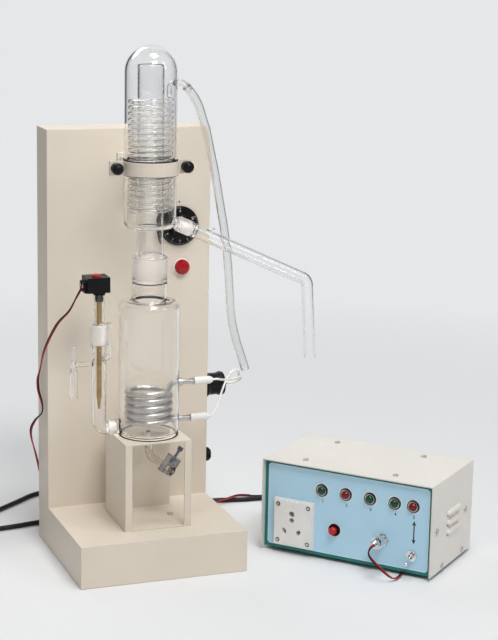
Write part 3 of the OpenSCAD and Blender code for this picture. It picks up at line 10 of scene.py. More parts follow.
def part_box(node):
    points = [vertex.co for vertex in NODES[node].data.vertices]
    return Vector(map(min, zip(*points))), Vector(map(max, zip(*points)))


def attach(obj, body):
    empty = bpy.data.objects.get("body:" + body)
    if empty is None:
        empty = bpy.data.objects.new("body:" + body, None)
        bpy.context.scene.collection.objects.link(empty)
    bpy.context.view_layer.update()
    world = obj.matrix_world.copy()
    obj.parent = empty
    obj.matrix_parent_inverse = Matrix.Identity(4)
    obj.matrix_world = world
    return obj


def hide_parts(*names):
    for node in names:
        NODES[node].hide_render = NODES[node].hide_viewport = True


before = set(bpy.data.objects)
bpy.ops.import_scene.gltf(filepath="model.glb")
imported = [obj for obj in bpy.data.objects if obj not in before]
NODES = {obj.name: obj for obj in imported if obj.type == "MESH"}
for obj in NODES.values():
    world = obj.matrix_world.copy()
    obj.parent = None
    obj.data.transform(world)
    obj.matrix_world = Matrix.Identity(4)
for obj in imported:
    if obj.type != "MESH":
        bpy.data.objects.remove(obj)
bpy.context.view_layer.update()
MM = 0.001
TAU = 2 * math.pi


# ---------------------------------------------------------------- camera, fitted to the photograph
CAMERA_AT = (-0.72781, -2.39325, 0.88628)
CAMERA_YAW, CAMERA_PITCH, CAMERA_ROLL = 0.3639, 0.218, 0.020
FOCAL_PX, FRAME_PX, SENSOR_MM = 1785.10, 640, 36


def place_camera():
    yaw, pitch, roll = CAMERA_YAW, CAMERA_PITCH, CAMERA_ROLL
    ahead = Vector((math.sin(yaw) * math.cos(pitch), math.cos(yaw) * math.cos(pitch), -math.sin(pitch)))
    level = Vector((math.cos(yaw), -math.sin(yaw), 0))
    upward = level.cross(ahead)
    right = math.cos(roll) * level + math.sin(roll) * upward
    up = -math.sin(roll) * level + math.cos(roll) * upward
    data = bpy.data.cameras.new("camera")
    data.sensor_width = SENSOR_MM
    data.lens = FOCAL_PX / FRAME_PX * SENSOR_MM
    data.clip_start, data.clip_end = 0.1, 30
    camera = bpy.data.objects.new("camera", data)
    turn = Matrix((right, up, -ahead)).transposed().to_4x4()
    camera.matrix_world = Matrix.Translation(CAMERA_AT) @ turn
    bpy.context.collection.objects.link(camera)
    bpy.context.scene.camera = camera


place_camera()

# ---------------------------------------------------------------- sizes shared with the CAD source
GLASS = Vector((3, -86, 0))
JOINT_Z, JOINT_TOP = 404.0, 437.5
OUTLET_Z, INLET_Z = 675.5, 500.0
COIL_R, COIL_TURNS, COIL_PITCH, COIL_TUBE = 27.5, 18, 8.6, 7.0
INLET_TURN = 50
HEATER_R, HEATER_TURNS, HEATER_PITCH, HEATER_TUBE, HEATER_Z = 30.0, 5, 9.6, 8.0, 202.0
HEATER_ARM_Z, HEATER_ARM_Y, HEATER_END_TURN = (201.0, 258.0), (8, -6), 60
SLEEVE_X = 67.5
LEVEL_X, LEVEL_SOCKET_Z, HEAD_Z = -69.0, 318.0, 393.0
UNIT_CORNER, UNIT_TURN = Vector((170.8, -100.6, 0)), math.radians(-48.5)
PANEL = 8.0
LEAD_D, HEATER_LEAD_D, HOSE_D, HOSE_BORE = 7.0, 3.0, 12.2, 9.5
PLUG_Z = 19.5


def unit_point(u, depth, v):
    c, s = math.cos(UNIT_TURN), math.sin(UNIT_TURN)
    return Vector((UNIT_CORNER.x + u * c - depth * s, UNIT_CORNER.y + u * s + depth * c, v))


# ---------------------------------------------------------------- routes, the same points as the CAD source's
SENSOR_ROUTE = [
    (-89.6, -86, 399), (-94, -86, 398), (-101, -83, 384), (-108, -72, 364), (-118, -45, 340),
    (-124.5, -2, 296), (-125, 23, 262), (-125.5, 36, 243), (-125, 34, 226), (-124, 18, 212),
    (-125, 14, 199), (-129, 34, 184), (-133, 46, 168), (-132, 50, 152), (-124, 58, 125),
    (-113, 67, 84), (-103, 71, 45), (-86, 77, 14), (-60, 84, 2.2), (20, 93, 2.2),
    (130, 100, 2.2), (194, 110, 8.4), (213, 114, 10.2), (232, 118, 7.6), (257, 125, 2.4),
    (372, 110, 2.2), (410, 76, 2.2), (424, 30, 2.2), (413, -18, 2.2), (358, -104, 2.2),
    (341, -175, 2.2), (330, -240, 2.2), (314, -268, 2.2), (298, -279, 5), (284, -276, 16.5),
    (271, -270, 30.5), (266.2, -266.3, 39.5), (268.6, -264.1, 45.5), (272.6, -260.6, 47.1),
    (276.1, -257.5, 47.1),
]
UNIT_LEAD_ROUTE = [
    (348.75, -23.25, 30), (357, -16, 29), (374, -1, 17), (388, 16, 6), (396, 38, 3.5),
    (392, 64, 3.5), (374, 88, 3.5), (345, 103, 3.5), (300, 109, 3.5), (252, 111, 3.5),
    (214, 114.5, 3.5), (178, 122, 3.5), (120, 124, 3.5), (60, 118, 3.5), (0, 112, 3.5),
    (-60, 107, 3.5), (-110.6, 101.5, 3.5), (-150, 94, 3.5), (-190, 89.6, 3.5), (-225, 89, 3.5),
    (-240, 89, 3.5),
]
STAND_LEAD_ROUTE = [
    (-20, 86.55, 30), (-20, 95, 30), (-20, 115, 24), (-19, 136, 12), (-19, 156, 4.4),
    (-20, 180, 3.5), (-26, 206, 3.5), (-42, 229, 3.5), (-64, 239, 3.5), (-88, 231, 3.5),
    (-112, 210.5, 3.5), (-151, 178, 3.5), (-180, 153.2, 3.5), (-193.4, 141.7, 3.5),
]
HOSE_ROUTE = [
    (53.15, -86, 670.1), (60.9, -86, 660.85), (67, -84.8, 652.8), (75, -78.5, 640.5), (83, -70.5, 624),
    (90, -66.6, 606), (96, -66, 580), (103, -66, 550), (111, -66, 508), (119, -66, 465),
    (125, -66, 418), (128.5, -66, 375), (132, -66, 338), (140, -66, 305), (148, -66, 282),
    (154, -66, 263),
]
HEATER_LEAD_HIGH = [
    (95, -92, 258), (103, -89, 257.5), (113, -80, 253.5), (128, -58, 247), (143, -31, 239),
    (156, -8, 233.5), (170, 8, 231), (179, 18, 229), (180, 23, 224), (172, 25, 219.6), (158.1, 25.3, 219),
]
HEATER_LEAD_LOW = [
    (95, -78, 201), (102, -75.5, 201), (113, -58, 204), (127, -33, 210), (140, -13, 222),
    (152, 2, 233), (163, 11, 240), (173, 18, 240), (179, 24, 233), (177, 29, 224), (170, 30, 219.6),
    (158.1, 29.7, 219),
]
UNIT_COIL = ((-240, 40.5), 90, 1)
STAND_COIL = ((-224.9, 178.4), -49.5, -1)
LEAD_COIL_R, LEAD_COIL_PITCH, LEAD_TURNS, COIL_STEPS = 48.5, 7.6, 5.25, 24


def lead_coil(at, start, way):
    """The put-away coil with its tail, as in the CAD source."""
    points = []
    for i in range(int(LEAD_TURNS * COIL_STEPS) + 1):
        s = i / COIL_STEPS
        r = LEAD_COIL_R - LEAD_COIL_PITCH * (LEAD_TURNS / 2 - abs(s - LEAD_TURNS / 2))
        climb = min(1, max(0, 2 * (s - LEAD_TURNS / 2) + 0.5))
        a = math.radians(start + way * 360 * s)
        points.append((at[0] + r * math.cos(a), at[1] + r * math.sin(a), LEAD_D / 2 + climb * LEAD_COIL_PITCH))
    a = math.radians(start + way * 360 * LEAD_TURNS)
    w = Vector((-math.sin(a), math.cos(a), 0)) * way
    p = Vector(points[-1])
    for along, rise in ((10, 0), (22, 3), (34, 7.2), (43, PLUG_Z - p.z), (50, PLUG_Z - p.z)):
        points.append(tuple(p + along * w + Vector((0, 0, rise))))
    return points


def metres(points):
    return [Vector(p) * MM for p in points]


def smooth(points, steps):
    """A Catmull-Rom curve through the points."""
    out = []
    for i in range(len(points) - 1):
        p0, p1 = points[max(i - 1, 0)], points[i]
        p2, p3 = points[i + 1], points[min(i + 2, len(points) - 1)]
        for k in range(steps):
            t = k / steps
            out.append(0.5 * (2 * p1 + (p2 - p0) * t + (2 * p0 - 5 * p1 + 4 * p2 - p3) * t**2
                              + (3 * p1 - p0 - 3 * p2 + p3) * t**3))
    out.append(points[-1])
    return out


def on_bench(points, radius):
    """Lifts what the curve would sink into the bench."""
    return [Vector((p.x, p.y, max(p.z, radius))) for p in points]


def frames(points, hint=Vector((0, 0, 1))):
    """A point, a normal and a binormal for each ring of a tube, carried along without twist."""
    out = []
    last = len(points) - 1
    normal = hint
    for i, p in enumerate(points):
        t = (points[min(i + 1, last)] - points[max(i - 1, 0)]).normalized()
        normal = (normal - normal.dot(t) * t).normalized()
        out.append((p, normal.copy(), t.cross(normal)))
    return out


def new_object(name, bm, materials=(), smooth_faces=True):
    mesh = bpy.data.meshes.new(name)
    bmesh.ops.recalc_face_normals(bm, faces=bm.faces)
    bm.to_mesh(mesh)
    bm.free()
    for p in mesh.polygons:
        p.use_smooth = smooth_faces
    obj = bpy.data.objects.new(name, mesh)
    bpy.context.collection.objects.link(obj)
    for m in materials:
        mesh.materials.append(m)
    return obj


def add_tube(bm, points, radius, sides=16, index=0, hint=Vector((0, 0, 1)), offset=(0, 0), bore=0, twist=0):
    """Adds a tube with closed ends, or with a bore, along the points. offset shifts it sideways in each ring."""
    walls = []
    rings = frames(points, hint)
    for r in (radius, bore) if bore else (radius,):
        wall = []
        for i, (p, n, b) in enumerate(rings):
            if twist:
                c, s = math.cos(twist * i), math.sin(twist * i)
                n, b = c * n + s * b, c * b - s * n
            centre = p + n * offset[0] + b * offset[1]
            wall.append([bm.verts.new(centre + r * (math.cos(TAU * k / sides) * n + math.sin(TAU * k / sides) * b))
                         for k in range(sides)])
        walls.append(wall)
        for low, high in zip(wall, wall[1:]):
            for k in range(sides):
                j = (k + 1) % sides
                bm.faces.new((low[k], low[j], high[j], high[k])).material_index = index
    for end in (0, -1):
        if bore:
            rim, lip = walls[0][end], walls[1][end]
            for k in range(sides):
                j = (k + 1) % sides
                bm.faces.new((rim[k], rim[j], lip[j], lip[k])).material_index = index
        else:
            bm.faces.new(walls[0][end]).material_index = index


# ---------------------------------------------------------------- materials
def look(name, color, rough=0.5, metal=0.0, spec=0.5):
    m = bpy.data.materials.new(name)
    m.use_nodes = True
    tree = m.node_tree
    bsdf = tree.nodes["Principled BSDF"]
    bsdf.inputs["Base Color"].default_value = (*color, 1)
    bsdf.inputs["Roughness"].default_value = rough
    bsdf.inputs["Metallic"].default_value = metal
    bsdf.inputs["Specular IOR Level"].default_value = spec
    m.diffuse_color = (*color, 1)
    return m


def put(tree, kind, links=(), **values):
    node = tree.nodes.new(kind)
    for key, value in values.items():
        if key.startswith("in_"):
            node.inputs[key[3:].replace("_", " ")].default_value = value
        else:
            setattr(node, key, value)
    for socket, source in links:
        tree.links.new(source, node.inputs[socket])
    return node


def object_point(tree):
    return put(tree, "ShaderNodeTexCoord").outputs["Object"]


def noise(tree, scale, detail=3.0, stretch=None):
    source = object_point(tree)
    if stretch:
        source = put(tree, "ShaderNodeMapping", [("Vector", source)], in_Scale=stretch).outputs["Vector"]
    return put(tree, "ShaderNodeTexNoise", [("Vector", source)], in_Scale=scale, in_Detail=detail,
               in_Roughness=0.5).outputs["Fac"]


def spread(tree, source, low, high, a=0.3, b=0.7):
    node = put(tree, "ShaderNodeMapRange", [("Value", source)])
    for key, value in (("From Min", a), ("From Max", b), ("To Min", low), ("To Max", high)):
        node.inputs[key].default_value = value
    return node.outputs["Result"]


def mottled(m, color_a, color_b, scale, rough=None, bump=0.0, bump_scale=900.0, edge=0.0, stretch=None,
            distance=0.0002):
    """Gives a material uneven colour, uneven roughness, a fine relief and softly rounded edges."""
    tree = m.node_tree
    bsdf = tree.nodes["Principled BSDF"]
    patches = noise(tree, scale, stretch=stretch)
    mixed = put(tree, "ShaderNodeMix", data_type="RGBA")
    tree.links.new(spread(tree, patches, 0, 1), mixed.inputs[0])
    mixed.inputs[6].default_value = (*color_a, 1)
    mixed.inputs[7].default_value = (*color_b, 1)
    tree.links.new(mixed.outputs[2], bsdf.inputs["Base Color"])
    if rough:
        tree.links.new(spread(tree, noise(tree, scale * 6, stretch=stretch), *rough), bsdf.inputs["Roughness"])
    normal = None
    if edge:
        normal = put(tree, "ShaderNodeBevel", in_Radius=edge, samples=6).outputs["Normal"]
    if bump:
        grain = noise(tree, bump_scale, detail=2, stretch=stretch)
        node = put(tree, "ShaderNodeBump", [("Height", grain)], in_Strength=bump, in_Distance=distance)
        if normal:
            tree.links.new(normal, node.inputs["Normal"])
        normal = node.outputs["Normal"]
    if normal:
        tree.links.new(normal, bsdf.inputs["Normal"])
    return m


SHADOW_TINT = (0.965, 0.965, 0.965, 1)


def lets_light_through(m):
    """Lamps shine through the glass: a shadow ray passes, tinted a little."""
    tree = m.node_tree
    output = tree.nodes["Material Output"]
    surface = output.inputs["Surface"].links[0].from_socket
    path = put(tree, "ShaderNodeLightPath")
    through = put(tree, "ShaderNodeBsdfTransparent", in_Color=SHADOW_TINT)
    mixed = put(tree, "ShaderNodeMixShader",
                [(0, path.outputs["Is Shadow Ray"]), (1, surface), (2, through.outputs[0])])
    tree.links.new(mixed.outputs[0], output.inputs["Surface"])
    return m


FROST_EDGE = 0.0006
FROST_COLOR, FROST_IOR = (0.98, 0.965, 0.95, 1), 1.2


def glass(name, frosted=(), rough=0.0, ior=1.47, color=(0.994, 0.996, 0.996), through=0.9):
    """Clear glass. frosted lists boxes of (axis, low, high) ranges in millimetres where it is ground, and through
    says how much light the ground part passes."""
    m = look(name, color, rough)
    tree = m.node_tree
    bsdf = tree.nodes["Principled BSDF"]
    bsdf.inputs["Transmission Weight"].default_value = 1
    bsdf.inputs["IOR"].default_value = ior
    if frosted:
        where = put(tree, "ShaderNodeSeparateXYZ", [(0, object_point(tree))])
        mask = None
        for box in frosted:
            inside = None
            for axis, low, high in box:
                a = spread(tree, where.outputs[axis], 0, 1, low * MM - FROST_EDGE, low * MM + FROST_EDGE)
                b = spread(tree, where.outputs[axis], 1, 0, high * MM - FROST_EDGE, high * MM + FROST_EDGE)
                both = put(tree, "ShaderNodeMath", [(0, a), (1, b)], operation="MULTIPLY").outputs[0]
                inside = both if inside is None else put(
                    tree, "ShaderNodeMath", [(0, inside), (1, both)], operation="MULTIPLY").outputs[0]
            mask = inside if mask is None else put(
                tree, "ShaderNodeMath", [(0, mask), (1, inside)], operation="MAXIMUM").outputs[0]
        ground = put(tree, "ShaderNodeBsdfPrincipled")
        ground.inputs["Base Color"].default_value = FROST_COLOR
        ground.inputs["Transmission Weight"].default_value = through
        ground.inputs["IOR"].default_value = FROST_IOR
        tree.links.new(spread(tree, noise(tree, 700), 0.45, 0.6), ground.inputs["Roughness"])
        mixed = put(tree, "ShaderNodeMixShader", [(0, mask), (1, bsdf.outputs[0]), (2, ground.outputs[0])])
        tree.links.new(mixed.outputs[0], tree.nodes["Material Output"].inputs["Surface"])
    return lets_light_through(m)


IVORY = mottled(look("ivory_powder_coat", (0.73, 0.655, 0.555), 0.5), (0.745, 0.67, 0.57), (0.71, 0.635, 0.535), 9,
                rough=(0.42, 0.56), bump=0.25, bump_scale=1500, edge=0.0012)
PALE = mottled(look("pale_powder_coat", (0.75, 0.725, 0.68), 0.5), (0.77, 0.745, 0.70), (0.73, 0.70, 0.655), 11,
               rough=(0.42, 0.56), bump=0.22, bump_scale=1600, edge=0.0011)
TEAL = mottled(look("teal_paint", (0.0, 0.20, 0.175), 0.42), (0.0, 0.215, 0.19), (0.0, 0.17, 0.155), 14,
               rough=(0.35, 0.5), bump=0.15, bump_scale=1600, edge=0.0006)
FILM = mottled(look("panel_film", (0.49, 0.76, 0.93), 0.45), (0.51, 0.78, 0.95), (0.47, 0.73, 0.90), 7,
               rough=(0.38, 0.5), bump=0.08, bump_scale=2500)
STEEL = mottled(look("brushed_steel", (0.60, 0.59, 0.57), 0.3, metal=1), (0.64, 0.63, 0.61), (0.53, 0.52, 0.50), 60,
                rough=(0.22, 0.38), bump=0.2, bump_scale=800, stretch=(1, 1, 12))
ZINC = mottled(look("zinc_steel", (0.62, 0.62, 0.60), 0.35, metal=1), (0.66, 0.66, 0.64), (0.55, 0.55, 0.53), 90,
               rough=(0.25, 0.42), bump=0.1, edge=0.0003)
BLUED = mottled(look("dark_nickel", (0.20, 0.24, 0.31), 0.3, metal=1), (0.34, 0.40, 0.50), (0.13, 0.16, 0.22), 120,
                rough=(0.18, 0.32), bump=0.1, edge=0.0003)
CHROME = mottled(look("chrome", (0.80, 0.80, 0.80), 0.12, metal=1), (0.84, 0.84, 0.84), (0.74, 0.74, 0.75), 80,
                 rough=(0.08, 0.2), edge=0.0003)
BRASS = mottled(look("aged_brass", (0.38, 0.23, 0.045), 0.38, metal=0.8),
                (0.43, 0.27, 0.055), (0.30, 0.17, 0.03), 130, rough=(0.3, 0.5), bump=0.2, bump_scale=1200)
BLACK = mottled(look("black_moulding", (0.005, 0.005, 0.006), 0.35, spec=0.2),
                (0.007, 0.007, 0.008), (0.004, 0.004, 0.005), 60,
                rough=(0.26, 0.42), bump=0.12, bump_scale=1800, edge=0.0005)
RUBBER = mottled(look("black_rubber", (0.011, 0.011, 0.012), 0.65, spec=0.2),
                 (0.014, 0.014, 0.015), (0.008, 0.008, 0.009), 50, rough=(0.55, 0.72), bump=0.3, bump_scale=1500)
WHITE = mottled(look("white_moulding", (0.86, 0.855, 0.835), 0.32), (0.88, 0.875, 0.855), (0.83, 0.825, 0.80), 25,
                rough=(0.26, 0.38), bump=0.06, edge=0.0006)
GREY = mottled(look("grey_moulding", (0.10, 0.10, 0.105), 0.5), (0.12, 0.12, 0.125), (0.08, 0.08, 0.085), 40,
               rough=(0.42, 0.6), bump=0.1)
PVC = mottled(look("black_pvc", (0.014, 0.014, 0.016), 0.42, spec=0.25),
              (0.02, 0.02, 0.022), (0.010, 0.010, 0.012), 35, rough=(0.34, 0.5), bump=0.15, bump_scale=900)
RED_PVC = mottled(look("red_pvc", (0.42, 0.012, 0.015), 0.42), (0.46, 0.015, 0.018), (0.36, 0.01, 0.012), 35,
                  rough=(0.34, 0.5), bump=0.15, bump_scale=900)
SLEEVING = mottled(look("white_sleeving", (0.88, 0.87, 0.84), 0.6), (0.91, 0.90, 0.87), (0.83, 0.82, 0.79), 80,
                   rough=(0.5, 0.7), bump=0.5, bump_scale=1400)
RED_CAP = mottled(look("red_moulding", (0.52, 0.015, 0.02), 0.3, spec=0.35),
                  (0.56, 0.018, 0.022), (0.46, 0.01, 0.015), 60, rough=(0.2, 0.34))


def lens(name, color_a, color_b, glow=0.0):
    """Coloured clear plastic with a moulded pattern of fine ribs inside it."""
    m = mottled(look(name, color_a, 0.12, spec=0.4), color_a, color_b, 220, rough=(0.08, 0.18), bump=0.35,
                bump_scale=420, distance=0.0004)
    bsdf = m.node_tree.nodes["Principled BSDF"]
    bsdf.inputs["Transmission Weight"].default_value = 0.25
    bsdf.inputs["Emission Color"].default_value = (*color_a, 1)
    bsdf.inputs["Emission Strength"].default_value = glow
    return m


RED_LENS = lens("red_lens", (0.50, 0.006, 0.010), (0.34, 0.003, 0.006), 0.05)
DARK_RED_LENS = lens("dark_red_lens", (0.30, 0.006, 0.012), (0.18, 0.003, 0.006))
GREEN_LENS = lens("green_lens", (0.004, 0.10, 0.045), (0.002, 0.05, 0.022))
SIDE_JOINT = [(0, 45, 62.5), (2, 455, 500)]
CLEAR = glass("clear_glass", frosted=[SIDE_JOINT], through=0.8)
BOILER_GLASS = glass("boiler_glass", frosted=[[(2, JOINT_Z + 3.5, JOINT_TOP - 1)], [(0, -57.5, -46)]])
JACKET_GLASS = glass("condenser_glass", frosted=[[(2, JOINT_Z + 3.5, JOINT_TOP - 1), (0, -30, 40)], SIDE_JOINT])
LEVEL_GLASS = glass("level_glass", through=0.75, frosted=[
    [(2, LEVEL_SOCKET_Z, LEVEL_SOCKET_Z + 28), (0, -82, -56.5)], [(0, -57, -40), (2, 180, 215)]])
ADAPTER_GLASS = glass("adapter_glass", through=0.7, frosted=[[(2, LEVEL_SOCKET_Z, LEVEL_SOCKET_Z + 28.5)]])
HOSE_PVC = glass("clear_pvc", rough=0.1, ior=1.38, color=(0.93, 0.94, 0.94))
DRAIN_PVC = glass("drain_hose_pvc", rough=0.12, ior=1.36, color=(0.95, 0.94, 0.90))


# Painted reflection: the dark blue laid on the clip's rounded edges.
PAINTED_EDGE_REFLECTION = (0.015, 0.035, 0.09)


def sprung_steel():
    """Bright plated strip whose rounded edges are painted dark blue: a painted dark reflection on the edges."""
    m = mottled(look("sprung_steel", (0.6, 0.62, 0.66), 0.25, metal=0.9), (0.72, 0.74, 0.78), (0.5, 0.53, 0.58), 90,
                rough=(0.16, 0.34), bump=0.1)
    tree = m.node_tree
    bsdf = tree.nodes["Principled BSDF"]
    faces = bsdf.inputs["Base Color"].links[0].from_socket
    soft = put(tree, "ShaderNodeBevel", in_Radius=0.0016, samples=8).outputs["Normal"]
    plain = put(tree, "ShaderNodeNewGeometry").outputs["Normal"]
    same = put(tree, "ShaderNodeVectorMath", [(0, soft), (1, plain)], operation="DOT_PRODUCT").outputs["Value"]
    # Painted reflection: the colour turns dark blue where the rounded edge's normal leaves the flat face's normal.
    mixed = put(tree, "ShaderNodeMix", data_type="RGBA")
    tree.links.new(spread(tree, same, 1, 0, 0.90, 0.995), mixed.inputs[0])
    tree.links.new(faces, mixed.inputs[6])
    mixed.inputs[7].default_value = (*PAINTED_EDGE_REFLECTION, 1)
    tree.links.new(mixed.outputs[2], bsdf.inputs["Base Color"])
    return m


CLIP = sprung_steel()

FINISH = {
    "stand_cabinet": IVORY, "rear_cover": IVORY, "base_plate": ZINC, "stand_screws": ZINC, "platform": IVORY,
    "boiler_gasket": RUBBER, "boiler": BOILER_GLASS, "heater_sleeves": WHITE, "heater_plug": BLACK,
    "heater_socket": BLACK, "fuse_holder": BLACK, "fuse_cap": BLACK, "level_tube": LEVEL_GLASS,
    "level_adapter": ADAPTER_GLASS, "level_head": BLACK, "level_cap": RED_CAP, "probe_rod": BRASS,
    "condenser_jacket": JACKET_GLASS, "clamp_bracket": IVORY, "clamp_liner": RUBBER, "clamp_band": IVORY,
    "clamp_knob_left": BLACK, "clamp_knob_right": BLACK, "delivery_tube": CLEAR, "energy_regulator": GREY,
    "power_dial": BLACK, "pilot_lamp_body": WHITE, "pilot_lamp_lens": RED_LENS, "drain_hose": DRAIN_PVC,
    "clip_frame": CLIP, "clip_jaw": CLIP, "clip_screw": BLUED, "cord_glands": RUBBER, "stand_plug": BLACK,
    "unit_plug": BLACK, "unit_chassis": TEAL, "unit_cover": PALE, "unit_overlay": FILM, "unit_screws": ZINC,
    "unit_feet": RUBBER, "outlet_socket": WHITE, "panel_bezels": BLACK, "green_lenses": GREEN_LENS,
    "red_lenses": DARK_RED_LENS, "reset_button": RED_CAP, "toggle_body": CHROME, "toggle_lever": CHROME,
    "sensor_connector": CHROME, "sensor_plug": CHROME, "sensor_plug_ring": CHROME,
}
for node, material in FINISH.items():
    mesh = NODES[node].data
    mesh.materials.clear()
    mesh.materials.append(material)


def cord(name, route, diameter, material, replaced, steps=4, sides=20):
    path = on_bench(smooth(metres(route), steps), diameter / 2 * MM)
    bm = bmesh.new()
    add_tube(bm, path, diameter / 2 * MM, sides)
    obj = new_object(name, bm, [material])
    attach(obj, "stand")
    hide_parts(*replaced)


stand_coil, unit_coil = lead_coil(*STAND_COIL), lead_coil(*UNIT_COIL)
cord("mains_lead_of_stand", STAND_LEAD_ROUTE[:-1] + stand_coil, LEAD_D, PVC, ["stand_lead", "stand_lead_coil"])
cord("mains_lead_of_unit", UNIT_LEAD_ROUTE[:-1] + unit_coil, LEAD_D, PVC, ["unit_lead", "unit_lead_coil"])
for name, route in (("heater_lead_upper", HEATER_LEAD_HIGH), ("heater_lead_lower", HEATER_LEAD_LOW)):
    cord(name, route, HEATER_LEAD_D, SLEEVING, ["heater_leads"], 5, 14)


def sensor_cord():
    """A red and a black core, side by side and slowly turning about each other."""
    strand = 0.00104
    path = on_bench(smooth(metres(SENSOR_ROUTE), 5), 2 * strand)
    bm = bmesh.new()
    for index, side in enumerate((1, -1)):
        add_tube(bm, path, strand, 12, index, offset=(side * strand * 0.97, 0), twist=0.16)
    obj = new_object("sensor_lead_pair", bm, [RED_PVC, PVC])
    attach(obj, "stand")
    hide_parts("sensor_lead")


sensor_cord()


def water_hose():
    path = smooth(metres(HOSE_ROUTE), 5)
    bm = bmesh.new()
    add_tube(bm, path, HOSE_D / 2 * MM, 28, hint=Vector((0, 1, 0)), bore=HOSE_BORE / 2 * MM)
    obj = new_object("water_hose", bm, [HOSE_PVC])
    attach(obj, "stand")
    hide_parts("outlet_hose")


water_hose()


# ---------------------------------------------------------------- coils
def heater_path():
    def at(s):
        a = math.radians(HEATER_END_TURN + s * (360 * HEATER_TURNS - 2 * HEATER_END_TURN))
        return Vector((GLASS.x + HEATER_R * math.cos(a), GLASS.y + HEATER_R * math.sin(a),
                       HEATER_Z + s * HEATER_TURNS * HEATER_PITCH))

    def arm(k, s):
        end = at(s)
        a = math.radians(HEATER_END_TURN)
        away = Vector((math.sin(a), -math.cos(a) if s == 0 else math.cos(a), 0))
        wall = Vector((GLASS.x + 37.5, GLASS.y + HEATER_ARM_Y[k], HEATER_ARM_Z[k]))
        b, c = end + 11 * away, wall - Vector((12, 0, 0))
        return [(1 - t) ** 3 * end + 3 * (1 - t) ** 2 * t * b + 3 * (1 - t) * t * t * c + t**3 * wall
                for t in (i / 8 for i in range(1, 9))]

    def outside(k):
        return [Vector((x, GLASS.y + HEATER_ARM_Y[k], HEATER_ARM_Z[k])) for x in (SLEEVE_X + 20, GLASS.x + 50.5)]

    steps = HEATER_TURNS * 48
    return (outside(0) + arm(0, 0)[::-1] + [at(i / steps) for i in range(steps + 1)]
            + arm(1, 1) + outside(1)[::-1])


def heater():
    bm = bmesh.new()
    add_tube(bm, metres(heater_path()), HEATER_TUBE / 2 * MM, 24)
    obj = new_object("heater_tube", bm, [STEEL])
    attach(obj, "stand")
    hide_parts("heater_coil")


def cooling_path():
    rings = COIL_TURNS * 48
    top = COIL_TURNS * COIL_PITCH
    whole = 360 * COIL_TURNS * (1 + (360 - INLET_TURN) / 360 / COIL_TURNS)

    def at(s):
        a = math.radians(INLET_TURN + whole * s)
        return Vector((GLASS.x + COIL_R * math.cos(a), GLASS.y + COIL_R * math.sin(a), INLET_Z + s * top))

    a = math.radians(INLET_TURN)
    way = Vector((math.cos(a), math.sin(a), 0))
    reach = 33.3
    start = Vector((GLASS.x, GLASS.y, INLET_Z)) + reach * way
    end = Vector((GLASS.x + reach, GLASS.y, OUTLET_Z))
    turns = [at(i / rings) for i in range(rings + 1)]
    last = turns[-1]
    tail = smooth([turns[-4], last + Vector((0, 3, 3)), last + Vector((0, 3.5, 12)),
                   end + Vector((-6, 1.5, -5)), end - Vector((2.5, 0, 0)), end], 6)
    head = smooth([start, start - 2.5 * way, turns[7]], 6)
    return head[:-1] + turns[7:-4] + tail


def cooling_coil():
    bm = bmesh.new()
    add_tube(bm, metres(cooling_path()), COIL_TUBE / 2 * MM, 20, bore=(COIL_TUBE / 2 - 1.1) * MM)
    obj = new_object("cooling_coil_tube", bm, [glass("coil_glass")])
    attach(obj, "stand")
    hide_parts("condenser_coil")


heater()
cooling_coil()


# ---------------------------------------------------------------- printed and small pieces
DIAL = Vector((73.6, -1.8, 464.2))
SKIRT_R, SKIRT_IN, SKIRT_T, SKIRT_RISE = 26.9, 17.7, 3.0, 0.6
PRINT_T = 0.03  # half the thickness of a print


def add_text(bm, text, size, place, bold=0.04):
    """Adds a numeral as a thin raised print. place maps a flat point (x, y) and a height to the model."""
    data = bpy.data.curves.new("numeral", "FONT")
    data.body, data.size, data.align_x, data.align_y = text, size, "CENTER", "CENTER"
    data.extrude = PRINT_T
    data.offset = bold
    obj = bpy.data.objects.new("numeral", data)
    mesh = bpy.data.meshes.new_from_object(obj)
    for v in mesh.vertices:
        v.co = place(v.co.x, v.co.y, v.co.z) * MM
    bm.from_mesh(mesh)
    bpy.data.meshes.remove(mesh)
    bpy.data.objects.remove(obj)
    bpy.data.curves.remove(data)


def add_shape(bm, outline, place):
    """Adds a flat printed shape from its outline."""
    low = [bm.verts.new(place(x, y, -PRINT_T) * MM) for x, y in outline]
    high = [bm.verts.new(place(x, y, PRINT_T) * MM) for x, y in outline]
    bm.faces.new(high)
    bm.faces.new(low[::-1])
    for i in range(len(outline)):
        j = (i + 1) % len(outline)
        bm.faces.new((low[i], low[j], high[j], high[i]))


def add_lathe(bm, outline, place, sides=48, closed=True):
    """Turns an outline of (radius, height) about the axis of place."""
    rows = [[bm.verts.new(place(r * math.cos(TAU * k / sides), r * math.sin(TAU * k / sides), h) * MM)
             for k in range(sides)] for r, h in outline]
    for low, high in zip(rows, rows[1:] + rows[:1] if closed else rows[1:]):
        for k in range(sides):
            j = (k + 1) % sides
            bm.faces.new((low[k], low[j], high[j], high[k]))


def part(name, bm, body, material, smooth_faces=False):
    obj = new_object(name, bm, [material], smooth_faces)
    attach(obj, body)
    return obj


